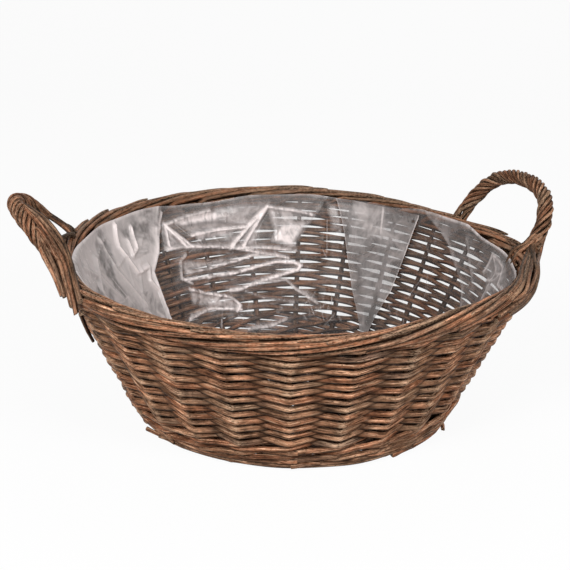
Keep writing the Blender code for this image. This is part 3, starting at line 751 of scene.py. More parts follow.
class PLANTER_OT_foot(bpy.types.Operator):
    """Lays the foot: rounds outside the stakes' bends, two of wale, and the base's last rounds"""

    bl_idname = "planter.foot"
    bl_label = "Foot"

    def execute(self, context):
        shape, rods = sizes("shape"), sizes("rods")
        foot = Bundle(41)
        away = clearing(rods.stake, rods.wale)
        for level, begin in ((0.0058, 0.4), (0.0092, 2.9)):
            for part in range(4):
                angle = np.linspace(0, pi / 2 + 0.16, 90) + begin + part * pi / 2
                end = np.minimum(angle - angle[0], angle[-1] - angle)
                slope = level + drift(foot.rng, angle, 0.0006, 5)
                slope += 0.0016 * (angle - angle[0] - pi / 4)
                offset = away - 0.0008 + 0.0016 * near(end, 0.05)
                offset = offset + drift(foot.rng, angle, 0.0005, 5)
                width = rods.wale * np.linspace(1.08, 0.86, 90)
                # Slight painted shade on the foot rounds
                foot.rod(on_wall(slope, offset, angle), width, depth=0.1)
        wale_low = 0.0108
        middle = (wale_low + shape.foot_top) / 2
        waled(foot, wale_low, middle, rods.wale, 1)
        waled(foot, middle, shape.foot_top, rods.wale * 1.02, 2)
        for level in (shape.foot_top - 0.0035, shape.foot_top + 0.0010):
            filler(foot, level, -0.0048, rods.wale, 0.0005)
        for angle, slope in ((radians(-157), 0.005), (radians(-32), 0.003)):
            steps = np.linspace(0, 1, 8)
            out = away + 0.0008 + 0.0035 * steps
            loose_end = on_wall(slope + 0.003 * steps, out, angle - 0.10 * steps)
            foot.rod(loose_end, rods.wale * 0.8)
        self.close_base(foot)
        names = ["foot_ring", "foot_wale_1", "foot_wale_2"]
        foot.piece("foot_rods", finish_named("foot_bark", 0.42, 1.08), "weave_willow", names)
        return {"FINISHED"}

    def close_base(self, foot):
        """Thin rounds between the base and the foot: over and under the stakes, the last below."""
        shape, rods = sizes("shape"), sizes("rods")
        angle = np.arange(0, 2 * pi + 0.2, 2 * pi / 192)
        rounds, below = (0.1197, 0.1228, 0.1259, 0.1290), 0.0019
        for count, radius in enumerate(rounds):
            over = zigzag(np.cos(STAKES / 2 * angle + pi * count), 0.94)
            height = shape.base_level + over * (rods.stake + rods.base) / 2
            if radius == rounds[-1]:
                height = np.full_like(angle, below)
            # Painted shade on the rounds under the basket
            foot.rod(polar(radius, angle, height), rods.base, depth=0.2, sides=6)


class PLANTER_OT_top_rows(bpy.types.Operator):
    """Weaves the last rows, close under the border"""

    bl_idname = "planter.top_rows"
    bl_label = "Top rows"

    def execute(self, context):
        shape, rods = sizes("shape"), sizes("rods")
        rows = Bundle(51)
        randed(rows, shape.top_low, shape.wall_top + 0.0040, split_row(), rods.rows + 1)
        filler(rows, shape.wall_top + 0.0014, -0.0036, rods.tip, 0.0003)
        finish = finish_named("weave_bark", 0.28, 1.14)
        rows.piece("top_rows", finish, "border_willow", ["top_wale_1", "top_wale_2"])
        return {"FINISHED"}


ROLL_START = radians(206)  # where a stake's top starts to roll round the border
ROLL_PACE = 3.4  # radians rolled round the border for each radian gone round the basket


def round_border(around, reach, angle, lift=0.0):
    """Points round the middle of the border: around is 0 outwards and pi / 2 up the wall."""
    shape = sizes("shape")
    return on_wall(
        shape.border_slope + (reach * BORDER_TALL + lift) * np.sin(around),
        -shape.border_in + (reach * BORDER_DEEP + lift) * np.cos(around),
        angle,
    )


class PLANTER_OT_border(bpy.types.Operator):
    """Rolls the stake tops down into the border, each over the ones before it"""

    bl_idname = "planter.border"
    bl_label = "Border"

    def execute(self, context):
        border = Bundle(61)
        laid = 30
        for number in range(laid):
            stake = number * 2 * pi / laid + border.rng.normal(0, 0.02)
            tip = radians(66 + border.rng.uniform(-16, 16))
            self.rolled(border, stake, tip)
            self.tucked(border, stake, tip)
        angle = np.arange(0, 2 * pi + 0.04, 2 * pi / 160)
        core, core_thick = round_border(np.zeros_like(angle), 0.0, angle), 0.0066
        # The core is darkened with painted shade, as it lies hidden under the rolled rods
        border.rod(core, core_thick, tone=0.1, depth=0.9)
        finish = finish_named("border_bark", 0.74, 1.26, 0.46)
        border.piece("border_rods", finish, "border_willow", ["border"])
        self.stray(finish)
        return {"FINISHED"}

    def rolled(self, border, stake, tip):
        """A stake's top, bent down and rolled from the inside over the border to its tip."""
        shape, rods, rng = sizes("shape"), sizes("rods"), border.rng
        rise = np.linspace(0, 1, 6)[:-1]
        height = shape.wall_top - 0.010 + 0.009 * rise
        stand = on_wall(height, -0.0012 * rise, stake - 0.02 * rise)
        around = np.arange(ROLL_START, tip, -radians(5))
        angle = self.gone_round(stake, around)
        # The tip stands proud of the rods that it lies on, more so at the back
        near_tip = np.clip((radians(44) - (around - tip)) / radians(44), 0, 1)
        back = facing_in(angle[-1])
        lift = rng.uniform(0.0012, 0.0030 + 0.0022 * back) * near_tip**1.5
        lift += drift(rng, angle, 0.0005, 6)
        line = np.vstack([stand, round_border(around, 1.0, angle, lift)])
        line = smooth_line(line[::2], 0.003)
        width = rods.border * rng.uniform(0.85, 1.2) * np.linspace(1.05, 0.82, len(line))
        width[-4:] *= (0.97, 0.9, 0.78, 0.6)
        # Painted shade on the part that rises from the weave under the border
        depth = 0.5 * np.clip(1 - np.arange(len(line)) / (0.5 * len(line)), 0, 1)
        depth = np.maximum(depth, self.painted_back_shade(line))
        wear = np.linspace(0, 0.4, len(line))
        border.rod(line, width, wear=wear, depth=depth, face=self.open_side(line))

    def tucked(self, border, stake, tip):
        """The same rod's second run, from under the next rods down the outside."""
        rods, rng = sizes("rods"), border.rng
        begin = tip + radians(34)
        end = radians(-150 if rng.uniform() < 0.6 else -30 - rng.uniform(0, 30))
        around = np.arange(begin, end, -radians(5))
        angle = self.gone_round(stake, around)
        # It comes up from under other rods, and its end stands out a little
        into = np.clip(1 - (begin - around) / radians(52), 0, 1)
        out = np.clip(1 - (around - end) / radians(26), 0, 1)
        lift = 0.0012 * out**2 - 0.0030 * into + drift(rng, angle, 0.0007, 6)
        lift += rng.normal(0, 0.0008)
        width = rods.border * rng.uniform(0.80, 1.18) * np.linspace(1.06, 0.74, len(angle))
        # Painted shade where the rod runs down under the border
        depth = 0.6 * np.clip(-np.sin(around) - 0.75, 0, 0.25) * 4
        line = round_border(around, 1.0, angle, lift)
        depth = np.maximum(depth, self.painted_back_shade(line))
        border.rod(line, width, wear=0.15, depth=depth, face=self.open_side(line))

    def gone_round(self, stake, around):
        """Directions that a rod reaches as it rolls round the border."""
        return stake - radians(5) - (ROLL_START - around) / ROLL_PACE

    def painted_back_shade(self, line):
        """Painted shade: the border is darker at the back."""
        return 0.58 * facing_in(np.arctan2(line[:, 1], line[:, 0]))

    def open_side(self, line):
        """From the middle of the border to each point of a rod that is rolled round it; the rod's sides
        turned away get painted shade.
        """
        return unit(line - round_border(0.0, 0.0, np.arctan2(line[:, 1], line[:, 0])))

    def stray(self, finish):
        """The thin rod end that hangs out below the border near the left handle."""
        end = Bundle(62)
        steps = np.linspace(0, 1, 9)
        out = 0.0100 + 0.0004 * np.sin(pi * steps)
        line = on_wall(0.137 - 0.033 * steps, out, radians(-160) - 0.06 * steps)
        # The rod is darkened with painted shade
        end.rod(line, np.linspace(0.0034, 0.0026, 9), tone=0.15, depth=0.5)
        end.piece("stray_rod", finish, "border_willow", ["border"])


def arch(side):
    """Even points of a handle's arch above the border, how far along they lie, and the
    direction square to the arch."""
    handles, shape = sizes("handles"), sizes("shape")
    at, lean, span, radius, rise, roundness, hollow = (
        getattr(handles, f"{side}_{size}")
        for size in ("at", "lean", "span", "radius", "rise", "roundness", "hollow")
    )
    outward = np.array([cos(at), sin(at), 0])
    along = np.array([-sin(at), cos(at), 0])
    up = outward * sin(lean) + np.array([0, 0, cos(lean)])
    t = np.linspace(0, pi, 601)
    start_in_border = 0.006
    foot_level = np.array([0, 0, shape.height - start_in_border])
    centre = outward * radius * cos(span) + foot_level
    across = np.sign(np.cos(t)) * np.abs(np.cos(t)) ** roundness
    height = np.maximum(np.sin(t), 0) ** roundness
    line = centre + along * (radius * sin(span) * across)[:, None] + up * (rise * height)[:, None]
    line -= outward * (hollow * np.sin(pi * height))[:, None]
    line = line[line[:, 2] >= shape.height + handles.thickness / 2 * sin(lean) - 0.002]
    far = far_along(line)
    steps = np.linspace(0, far[-1], 90)
    even = np.stack([np.interp(steps, far, line[:, i]) for i in range(3)], -1)
    return even, steps, np.cross(along, up)


# How much wider the twist gets, and over how many mm, at the start and at the end of each arch,
# and how many mm the twist ends before the arch does
HANDLE_SPREAD = {"right": ((0.0, 30), (0.26, 24), 0), "left": ((0.45, 30), (-0.72, 36), 23)}
# Rods splayed over the border at the handles' feet, each as places from the twist down:
# direction in degrees, radius and height in mm. The right ones leave the twist at one place
RIGHT_LEAVES = (353.2, 207.5, 148.5)
FOOT_RODS = {
    "left": (
        ((182.0, 211.7, 161.1), (184.1, 211.1, 154.2), (187.0, 208.0, 145.6),
         (189.5, 204.4, 136.6), (193.0, 202.0, 124.0)),
        ((181.1, 214.4, 164.2), (183.4, 210.5, 160.8), (184.7, 206.8, 153.8),
         (188, 203.9, 145.0), (191, 202.2, 135.2), (194.5, 201.8, 124.5)),
        ((180.2, 216.9, 167.0), (182.6, 210.6, 166.3), (184.4, 206.3, 160.8),
         (185.6, 202.6, 153.7), (188.5, 198.8, 144.3), (193.3, 199.4, 134.6),
         (197.8, 200.8, 120.1)),
        ((177.4, 219.0, 177.8), (180.4, 213.0, 174.0), (182.7, 208.5, 169.4),
         (184.6, 202.6, 160.8), (185.8, 198.8, 153.6), (189, 195.3, 143.6),
         (196.3, 199.4, 134.8), (200.5, 201.6, 117.7)),
        ((176.2, 219.5, 179.6), (178.8, 213.4, 177.0), (182.1, 206.8, 172.4),
         (184.3, 200.4, 164.3), (185.8, 195.3, 155.7), (189, 192.1, 144.9),
         (196.5, 196.0, 137.3), (202, 201.0, 129.0)),
        ((175.8, 220.2, 179.6), (178.1, 212.8, 177.2), (181.4, 204.4, 173.0),
         (183.6, 197.8, 165.2), (185.3, 193.0, 156.6), (188.6, 190.8, 146.2),
         (196.3, 195.0, 138.0), (202, 200.2, 130.0)),
        ((165.6, 218.0, 168.4), (163.1, 213.2, 162.6), (161.1, 207.0, 154.9),
         (159.4, 198.7, 146.5), (159.0, 192.5, 140.5), (158.8, 190.0, 133.0)),
        ((165.8, 216.8, 166.0), (163.3, 211.8, 159.6), (161.5, 205.2, 152.8),
         (160.1, 197.3, 145.0), (160.2, 191.6, 139.6), (160.2, 190.0, 132)),
        ((165.2, 215.6, 165.0), (163.0, 211.4, 158.4), (161.4, 206.4, 153.4),
         (159.8, 199.2, 146.6), (158.0, 193.0, 141.6), (156.0, 190.8, 134)),
        ((173, 198, 131), (170, 197.5, 136.8), (166.5, 195.5, 139.6), (163.6, 191.8, 140),
         (160.6, 188.6, 138.2), (160.0, 189.6, 132)),
    ),
    "right": (
        (RIGHT_LEAVES, (352.2, 210.0, 143.5), (351.2, 208.2, 136.0),
         (346, 201.6, 131.0), (340, 199.8, 127.6), (334.5, 198.8, 122.8), (327, 198.8, 119.8),
         (319, 198.2, 118.6), (311, 197.6, 118.4)),
        (RIGHT_LEAVES, (351.7, 209.1, 142.1), (351.2, 206.9, 134.6),
         (341, 198.3, 136.2), (333, 199.2, 133.4), (326.5, 200.2, 129.0), (320, 200.0, 125.0),
         (312, 198, 122)),
        (RIGHT_LEAVES, (351.3, 205.0, 143.3), (350.8, 202.5, 136.5),
         (340, 194.5, 138.8), (329.5, 196.5, 137.4), (323.4, 200.6, 131.2), (318, 197, 127)),
        (RIGHT_LEAVES, (351.0, 202.9, 144.4), (350.4, 198.0, 138.3),
         (341, 189.5, 138.8), (333, 188.5, 138.0), (323.3, 194.6, 136.6), (316, 195, 130)),
        (RIGHT_LEAVES, (351.0, 201.2, 145.3), (350.3, 195.2, 139.5),
         (349.4, 187.0, 134.5), (349.2, 182.5, 123.0), (348.8, 181, 116)),
        (RIGHT_LEAVES, (351.4, 199.5, 147), (351.0, 193.5, 141.0), (352, 185.5, 134.5),
         (352.5, 182, 123), (352, 180.5, 116)),
        (RIGHT_LEAVES, (351.1, 207.3, 146.0), (350.4, 199.0, 140.4),
         (341, 195.8, 139.8), (335.3, 199.6, 134.2), (331.0, 200.8, 126.0), (325, 199.8, 121.5),
         (316, 198.6, 119.5)),
        (RIGHT_LEAVES, (351.5, 206.6, 142.6), (350.8, 204.0, 135.6),
         (343, 200.0, 133.2), (336, 200.2, 129.4), (329, 200.0, 124.8), (320, 199.4, 122.0)),
        (RIGHT_LEAVES, (351.2, 204.2, 143.6), (350.6, 200.4, 137.4),
         (341, 192.0, 139.0), (331.5, 192.5, 138.2), (322.4, 197.8, 134.6), (316, 197, 128)),
    ),
}


class PLANTER_OT_handles(bpy.types.Operator):
    """Twists the rods round both handles and splays them over the border at their feet"""

    bl_idname = "planter.handles"
    bl_label = "Handles"

    def execute(self, context):
        handles = sizes("handles")
        for side, seed in zip(ARCHES, (71, 72)):
            line, steps, normal = arch(side)
            *spread, short = HANDLE_SPREAD[side]
            kept = steps <= steps[-1] - short / 1000
            line, steps = line[kept], steps[kept]
            widen = 0.0
            for (wider, over), far in zip(spread, (steps, steps[-1] - steps)):
                widen = widen + wider * np.clip(1 - far * 1000 / over, 0, 1) ** 1.2
            twisted = Bundle(seed)
            self.twist(twisted, line, steps, normal, widen, 0.002 if short else 0.006)
            self.splay(twisted, side)
            # A core inside the twist, three rods that part where it widens
            thick = handles.thickness * 0.48 * (1 + np.minimum(widen, 0))
            for aside in (-1.2, 0, 0.6):
                core = (line + normal * (aside * 0.0045 * widen)[:, None])[2:-2:4]
                core = smooth_line(core, 0.004)
                places = np.linspace(0, 1, len(core))
                inside = np.interp(places, np.linspace(0, 1, len(thick)), thick)
                # The core is darkened with painted shade, as it lies inside the twist
                twisted.rod(core, inside, tone=0.2, depth=0.9)
            names = [f"{side}_handle_{part}" for part in ("bow", "wrap", "front_foot", "back_foot")]
            finish = finish_named("handle_bark", 0.55, 0.76, 0.45)
            twisted.piece(f"{side}_handle_rods", finish, "handle_willow", names)
        return {"FINISHED"}

    def twist(self, twisted, line, steps, normal, widen, on):
        """The rods wound round the arch, tighter at its crown; on is how far their ends go on."""
        handles, rods = sizes("handles"), sizes("rods")
        rng = twisted.rng
        forward = unit(np.gradient(line, axis=0), 1e-9)
        first = np.cross(forward, normal)
        rate = 0.62 + 0.85 * (1 - np.abs(2 * steps / steps[-1] - 1)) ** 0.8
        turned = np.concatenate([[0], np.cumsum((rate[1:] + rate[:-1]) / 2 * np.diff(steps))])
        turned *= -2 * pi / handles.twist
        for strand in range(handles.strands):
            around = turned + 2 * pi * strand / handles.strands
            reach = (handles.thickness - rods.strand) / 2 + drift(rng, steps * 60, 0.0004, 1.0)
            outer = np.sin(around) * (1 + widen) - 0.5 * np.maximum(widen, 0)
            inner = np.cos(around) * (1 + np.minimum(widen, 0))
            away = first * inner[:, None] + normal * outer[:, None]
            body = line + away * (reach + 0.0005 * (strand % 2))[:, None]
            head = [body[0] - forward[0] * 0.012, body[0] - forward[0] * 0.006]
            tail = [body[-1] + forward[-1] * on, body[-1] + forward[-1] * 2 * on]
            path = smooth_line(np.vstack([head, body[1:-1:2], tail]), 0.0022)
            nearest = np.argmin(np.linalg.norm(path[:, None] - line[None], axis=2), axis=1)
            width = rods.strand * rng.uniform(0.88, 1.10) * np.linspace(1.06, 0.94, len(path))
            wear = 0.3 * rng.uniform(0.2, 1)
            # The strands' sides turned in towards the arch get painted shade
            twisted.rod(path, width, wear=wear, face=unit(path - line[nearest]))

    def splay(self, twisted, side):
        """The rods that leave the twist and run down over the border and the wall."""
        rods = sizes("rods")
        for places in FOOT_RODS[side]:
            at, radius, height = np.array(places).T
            at, radius = np.radians(at), radius / 1000
            line = smooth_line(polar(radius, at, height / 1000), 0.0022)
            # Painted shade on the rods' sides turned away from the front, where the camera stands
            outwards = np.array([sin(FRONT), -cos(FRONT), 0.4]) + line * (2, 0, 0)
            face = np.tile(unit(outwards.mean(axis=0)), (len(line), 1))
            width = rods.strand * twisted.rng.uniform(1.0, 1.25) * np.linspace(0.95, 1.08, len(line))
            twisted.rod(line, width, wear=0.3 * twisted.rng.uniform(0.2, 1), face=face)


# Liner: places on the film are pairs of direction in degrees and height in millimetres

FOLDS = (  # the fold's line, its width and height in mm, and how bright the painted highlight along its edge is
    (((119.3, 116.1), (114.4, 94.9)), 5, 3.6, 0.9),
    (((119.3, 116.1), (112.8, 95.1)), 4, 3.0, 0.7),
    (((119.3, 116.1), (120.1, 96.9)), 4, 2.6, 0.6),
    (((119.3, 116.1), (111.4, 121.7), (103.2, 125.0)), 6, 3.0, 0.6),
    (((84.7, 122.3), (97.5, 86.6)), 4, 4.0, 0.9),
    (((84.7, 122.3), (93.2, 87.4)), 4, 4.0, 0.9),
    (((84.7, 122.3), (91.9, 104.3), (100.5, 104.4), (111.2, 102.9)), 5, 4.2, 0.8),
    (((84.7, 122.3), (77.1, 119.0), (70.9, 115.4)), 4, 3.2, 0.6),
    (((122.3, 95.6), (112.9, 94.3), (98.1, 87.6), (87.9, 82.5), (78.2, 77.9)), 4, 4.5, 0.7),
    (((98.1, 87.6), (86.0, 86.5), (75.5, 84.0)), 4, 4.0, 0.7),
    (((115.3, 87.7), (117.9, 83.8), (119.6, 69.4), (116.0, 64.0)), 4, 4.0, 0.6),
    (((119.6, 69.4), (108.2, 66.0), (98.0, 66.3), (88.2, 71.5), (82.4, 74.5)), 4, 4.2, 0.9),
    (((82.4, 74.5), (76.1, 73.8), (73.2, 71.5), (74.6, 67.1), (81.1, 62.6)), 4, 4.2, 0.9),
    (((81.1, 62.6), (88.6, 58.0), (96.6, 52.5), (100.7, 51.8)), 4, 3.6, 0.8),
    (((117.3, 73.3), (107.6, 72.6), (96.7, 76.2), (90.7, 80.3), (82.4, 80.5)), 3, 3.4, 0.7),
    (((100.7, 51.8), (90.0, 56.0), (78.9, 59.2), (75.1, 50.9), (66.5, 40.2)), 4, 3.2, 0.5),
    (((117.6, 59.8), (111.4, 53.6), (101.1, 46.8), (97.5, 39.1), (99.5, 34.6)), 4, 3.8, 0.8),
    (((121.7, 36.3), (111.3, 40.0), (97.7, 35.8)), 4, 3.0, 0.8),
    (((96.2, 20.3), (85.7, 20.6), (78.8, 25.4)), 4, 2.6, 0.6),
    (((96.6, 52.5), (88.0, 44.0), (76.0, 40.0)), 5, 2.4, 0.3),
    (((119.3, 127.2), (125.1, 94.6), (130.2, 80.7), (130.5, 25.0)), 3, 2.6, 0.55),
    (((138.7, 128.7), (140.8, 110.6), (137.8, 86.0), (131.3, 86.6)), 3, 3.0, 0.8),
    (((132.6, 121.9), (133.5, 104.0), (136.4, 100.3), (136.0, 112.0)), 3, 2.6, 0.8),
    (((131.3, 86.6), (133.0, 76.0), (130.5, 66.0)), 3, 2.4, 0.7),
    (((154.8, 112.5), (163.2, 91.1), (160.0, 70.0)), 5, 2.4, 0.35),
    (((148.0, 122.0), (147.0, 96.0), (141.0, 60.0)), 4, 2.2, 0.35),
    (((168.0, 118.0), (158.0, 98.0), (152.0, 74.0)), 5, 2.2, 0.25),
    (((62.8, 129.0), (56.8, 80.2), (47.5, 28.0)), 3, 1.2, 0.0),
    (((47.6, 130.0), (46.0, 103.8), (46.5, 84.0)), 2.5, 1.6, 0.5),
    (((31.0, 131.0), (18.7, 112.6), (7.7, 91.2), (-1.6, 66.0)), 5, 2.6, 0.2),
    (((0.6, 107.9), (1.1, 125.3), (-5.6, 114.2), (-8.2, 91.2)), 4, 1.4, 0.45),
    (((1.1, 125.3), (-8.0, 123.0), (-12.0, 110.0), (-21.3, 112.8)), 4, 1.6, 0.5),
    (((-5.6, 114.2), (-9.0, 117.0), (-8.0, 108.0), (-4.0, 104.0)), 3, 2.2, 0.5),
    (((13.0, 124.0), (8.0, 108.0), (3.0, 96.0)), 5, 2.2, 0.2),
)
LIT_FACES = (  # outlines of the folds' faces that get a painted highlight, and how bright it is
    (((116.2, 117.1), (111.4, 121.7), (103.2, 123.9), (96.5, 116.2), (101.3, 113.1),
      (113.7, 113.4)), 0.85),
    (((111.1, 103.7), (108.7, 98.5), (99.5, 99.0), (91.9, 103.3), (93.8, 106.4), (100.5, 104.8)), 0.75),
    (((84.7, 121.5), (94.6, 87.7), (90.4, 88.7)), 0.5),
    (((81.5, 103.5), (72.0, 108.3), (74.4, 100.3), (76.2, 91.7), (75.5, 86.6), (83.6, 91.6)), 0.8),
    (((117.9, 83.8), (118.3, 72.1), (110.6, 73.7), (98.8, 76.7), (96.6, 78.4), (107.2, 76.9)), 0.75),
    (((117.6, 59.8), (111.4, 53.6), (101.1, 46.8), (97.5, 39.1), (99.5, 34.6), (117.9, 46.3)), 0.6),
    (((121.9, 36.0), (120.2, 38.9), (111.3, 41.0), (110.8, 37.4)), 1.0),
    (((75.6, 51.6), (70.4, 48.8), (66.5, 40.2), (73.5, 47.0)), 0.7),
    (((0.6, 107.9), (1.1, 125.3), (-10.0, 124.0), (-19.3, 114.8), (-8.2, 95.2)), 0.22),
    (((119.3, 116.1), (114.4, 94.9), (112.8, 95.1)), 0.7),
    (((119.3, 116.1), (120.1, 96.9), (116.5, 95.5)), 0.5),
    (((122.3, 97.5), (98.1, 89.6), (98.1, 86.0), (122.3, 93.8)), 0.7),
    (((103.2, 125.0), (84.7, 122.3), (91.9, 104.3), (100.5, 112.0)), 0.35),
    (((84.7, 122.3), (77.1, 119.0), (76.0, 100.0), (83.0, 101.0)), 0.4),
    (((113.7, 112.0), (101.3, 112.0), (100.5, 105.5), (111.2, 104.5)), 0.35),
    (((96.2, 21.3), (85.7, 22.4), (78.8, 27.0), (80.0, 23.6), (86.0, 19.0)), 0.6),
    (((140.0, 104.0), (137.0, 88.0), (133.0, 87.0), (133.4, 96.0)), 0.35),
    (((132.5, 84.0), (134.0, 72.0), (131.5, 66.0), (130.6, 80.0)), 0.5),
    (((66.5, 128.0), (62.8, 126.0), (60.0, 100.0), (64.0, 104.0)), 0.35),
)
DOUBLED = (  # outlines of the areas where the film lies double, and how milky they are
    (((119.3, 134.0), (125.1, 94.6), (130.2, 80.7), (130.5, 20.0), (215, 20.0), (215, 134.0)), 0.99),
    (((119.3, 134.0), (122.3, 95.6), (98.1, 87.6), (76.0, 86.0), (70.0, 112.0), (66.0, 134.0)), 0.42),
    (((33.0, 134.0), (18.7, 112.6), (7.7, 91.2), (-1.6, 66.0), (-24, 66.0), (-24, 134.0)), 0.44),
    (((44.0, 134.0), (44.0, 122.0), (33.0, 118.0), (24.0, 134.0)), 0.30),
)
HOLES = (  # direction, height, half width in mm, and how open
    (35.6, 124.3, 2.2, 1.0),
    (24.4, 105.9, 3.2, 0.75),
)


def rough_radius(height):
    """The film's radius at a height, near enough to measure along it."""
    return 0.117 + 0.52 * height


def arc_apart(angle, height, at, high):
    """How far places on the film lie from one of them, along the wall and up."""
    aside = np.mod(angle - np.radians(at) + pi, 2 * pi) - pi
    return aside * rough_radius(height), height - high / 1000


def from_line(angle, height, line):
    """Distance of places on the wall from a line on it, and whether they are on its left."""
    nearest, left = np.full(angle.shape, 1.0), np.zeros(angle.shape, bool)
    for (at, high), (next_at, next_high) in zip(line, line[1:]):
        x, z = arc_apart(angle, height, at, high)
        dx = np.radians(next_at - at) * rough_radius((high + next_high) / 2000)
        dz = (next_high - high) / 1000
        along = np.clip((x * dx + z * dz) / max(dx * dx + dz * dz, 1e-12), 0, 1)
        away = np.hypot(x - along * dx, z - along * dz)
        left = np.where(away < nearest, dx * z - dz * x > 0, left)
        nearest = np.minimum(nearest, away)
    return nearest, left


def within(angle, height, outline, soft):
    """1 inside an outline on the wall, fading over soft metres round its edge."""
    middle = sum(at for at, _ in outline) / len(outline)
    x = np.degrees(np.mod(angle - radians(middle) + pi, 2 * pi) - pi) + middle
    z = height * 1000
    inside = np.zeros(angle.shape, bool)
    corners = list(outline) + [outline[0]]
    for (x0, z0), (x1, z1) in zip(corners, corners[1:]):
        crosses = (z0 > z) != (z1 > z)
        inside ^= crosses & (x < (x1 - x0) * (z - z0) / (z1 - z0 + 1e-9) + x0)
    edge = from_line(angle, height, corners)[0]
    return np.clip(np.where(inside, edge, -edge) / soft + 0.5, 0, 1)


def film_radius(height):
    """Where the film lies on the wall, drawn in under the border."""
    return np.minimum(FILM_FOOT + tan(sizes("shape").lean) * height, FILM_TOP)


def film_profile():
    """The film's outline: floor, corner and wall, as radius and height, evenly spaced."""
    film = sizes("film")
    floor, corner = film.floor, film.floor + 0.010
    knots = [(0.0, floor + 0.0005), (film_radius(floor) - 0.012, floor + 0.0005)]
    knots += [(film_radius(floor) - 0.0035, floor + 0.0022), (film_radius(corner), corner)]
    for height in np.linspace(corner + 0.008, film.edge, 8):
        knots.append((film_radius(height), height))
    line = smooth_line(np.array([(r, 0, z) for r, z in knots]), 0.0014)
    return line[:, 0], line[:, 2]


def film_mesh(name, points, marks, closed, material):
    """A grid of points, rows of the film, joined to one surface with its marks."""
    rows, columns = points.shape[:2]
    mesh = bpy.data.meshes.new(name)
    i = np.arange(rows - 1)[:, None] * columns
    j = np.arange(columns if closed else columns - 1)[None, :]
    k = (j + 1) % columns
    quads = np.stack([i + j, i + k, i + columns + k, i + columns + j], -1).reshape(-1, 4)
    mesh.from_pydata(points.reshape(-1, 3).tolist(), [], quads.tolist())
    for label, values in marks.items():
        mark(mesh, label, values)
    mesh.shade_smooth()
    return placed(name, mesh, material)


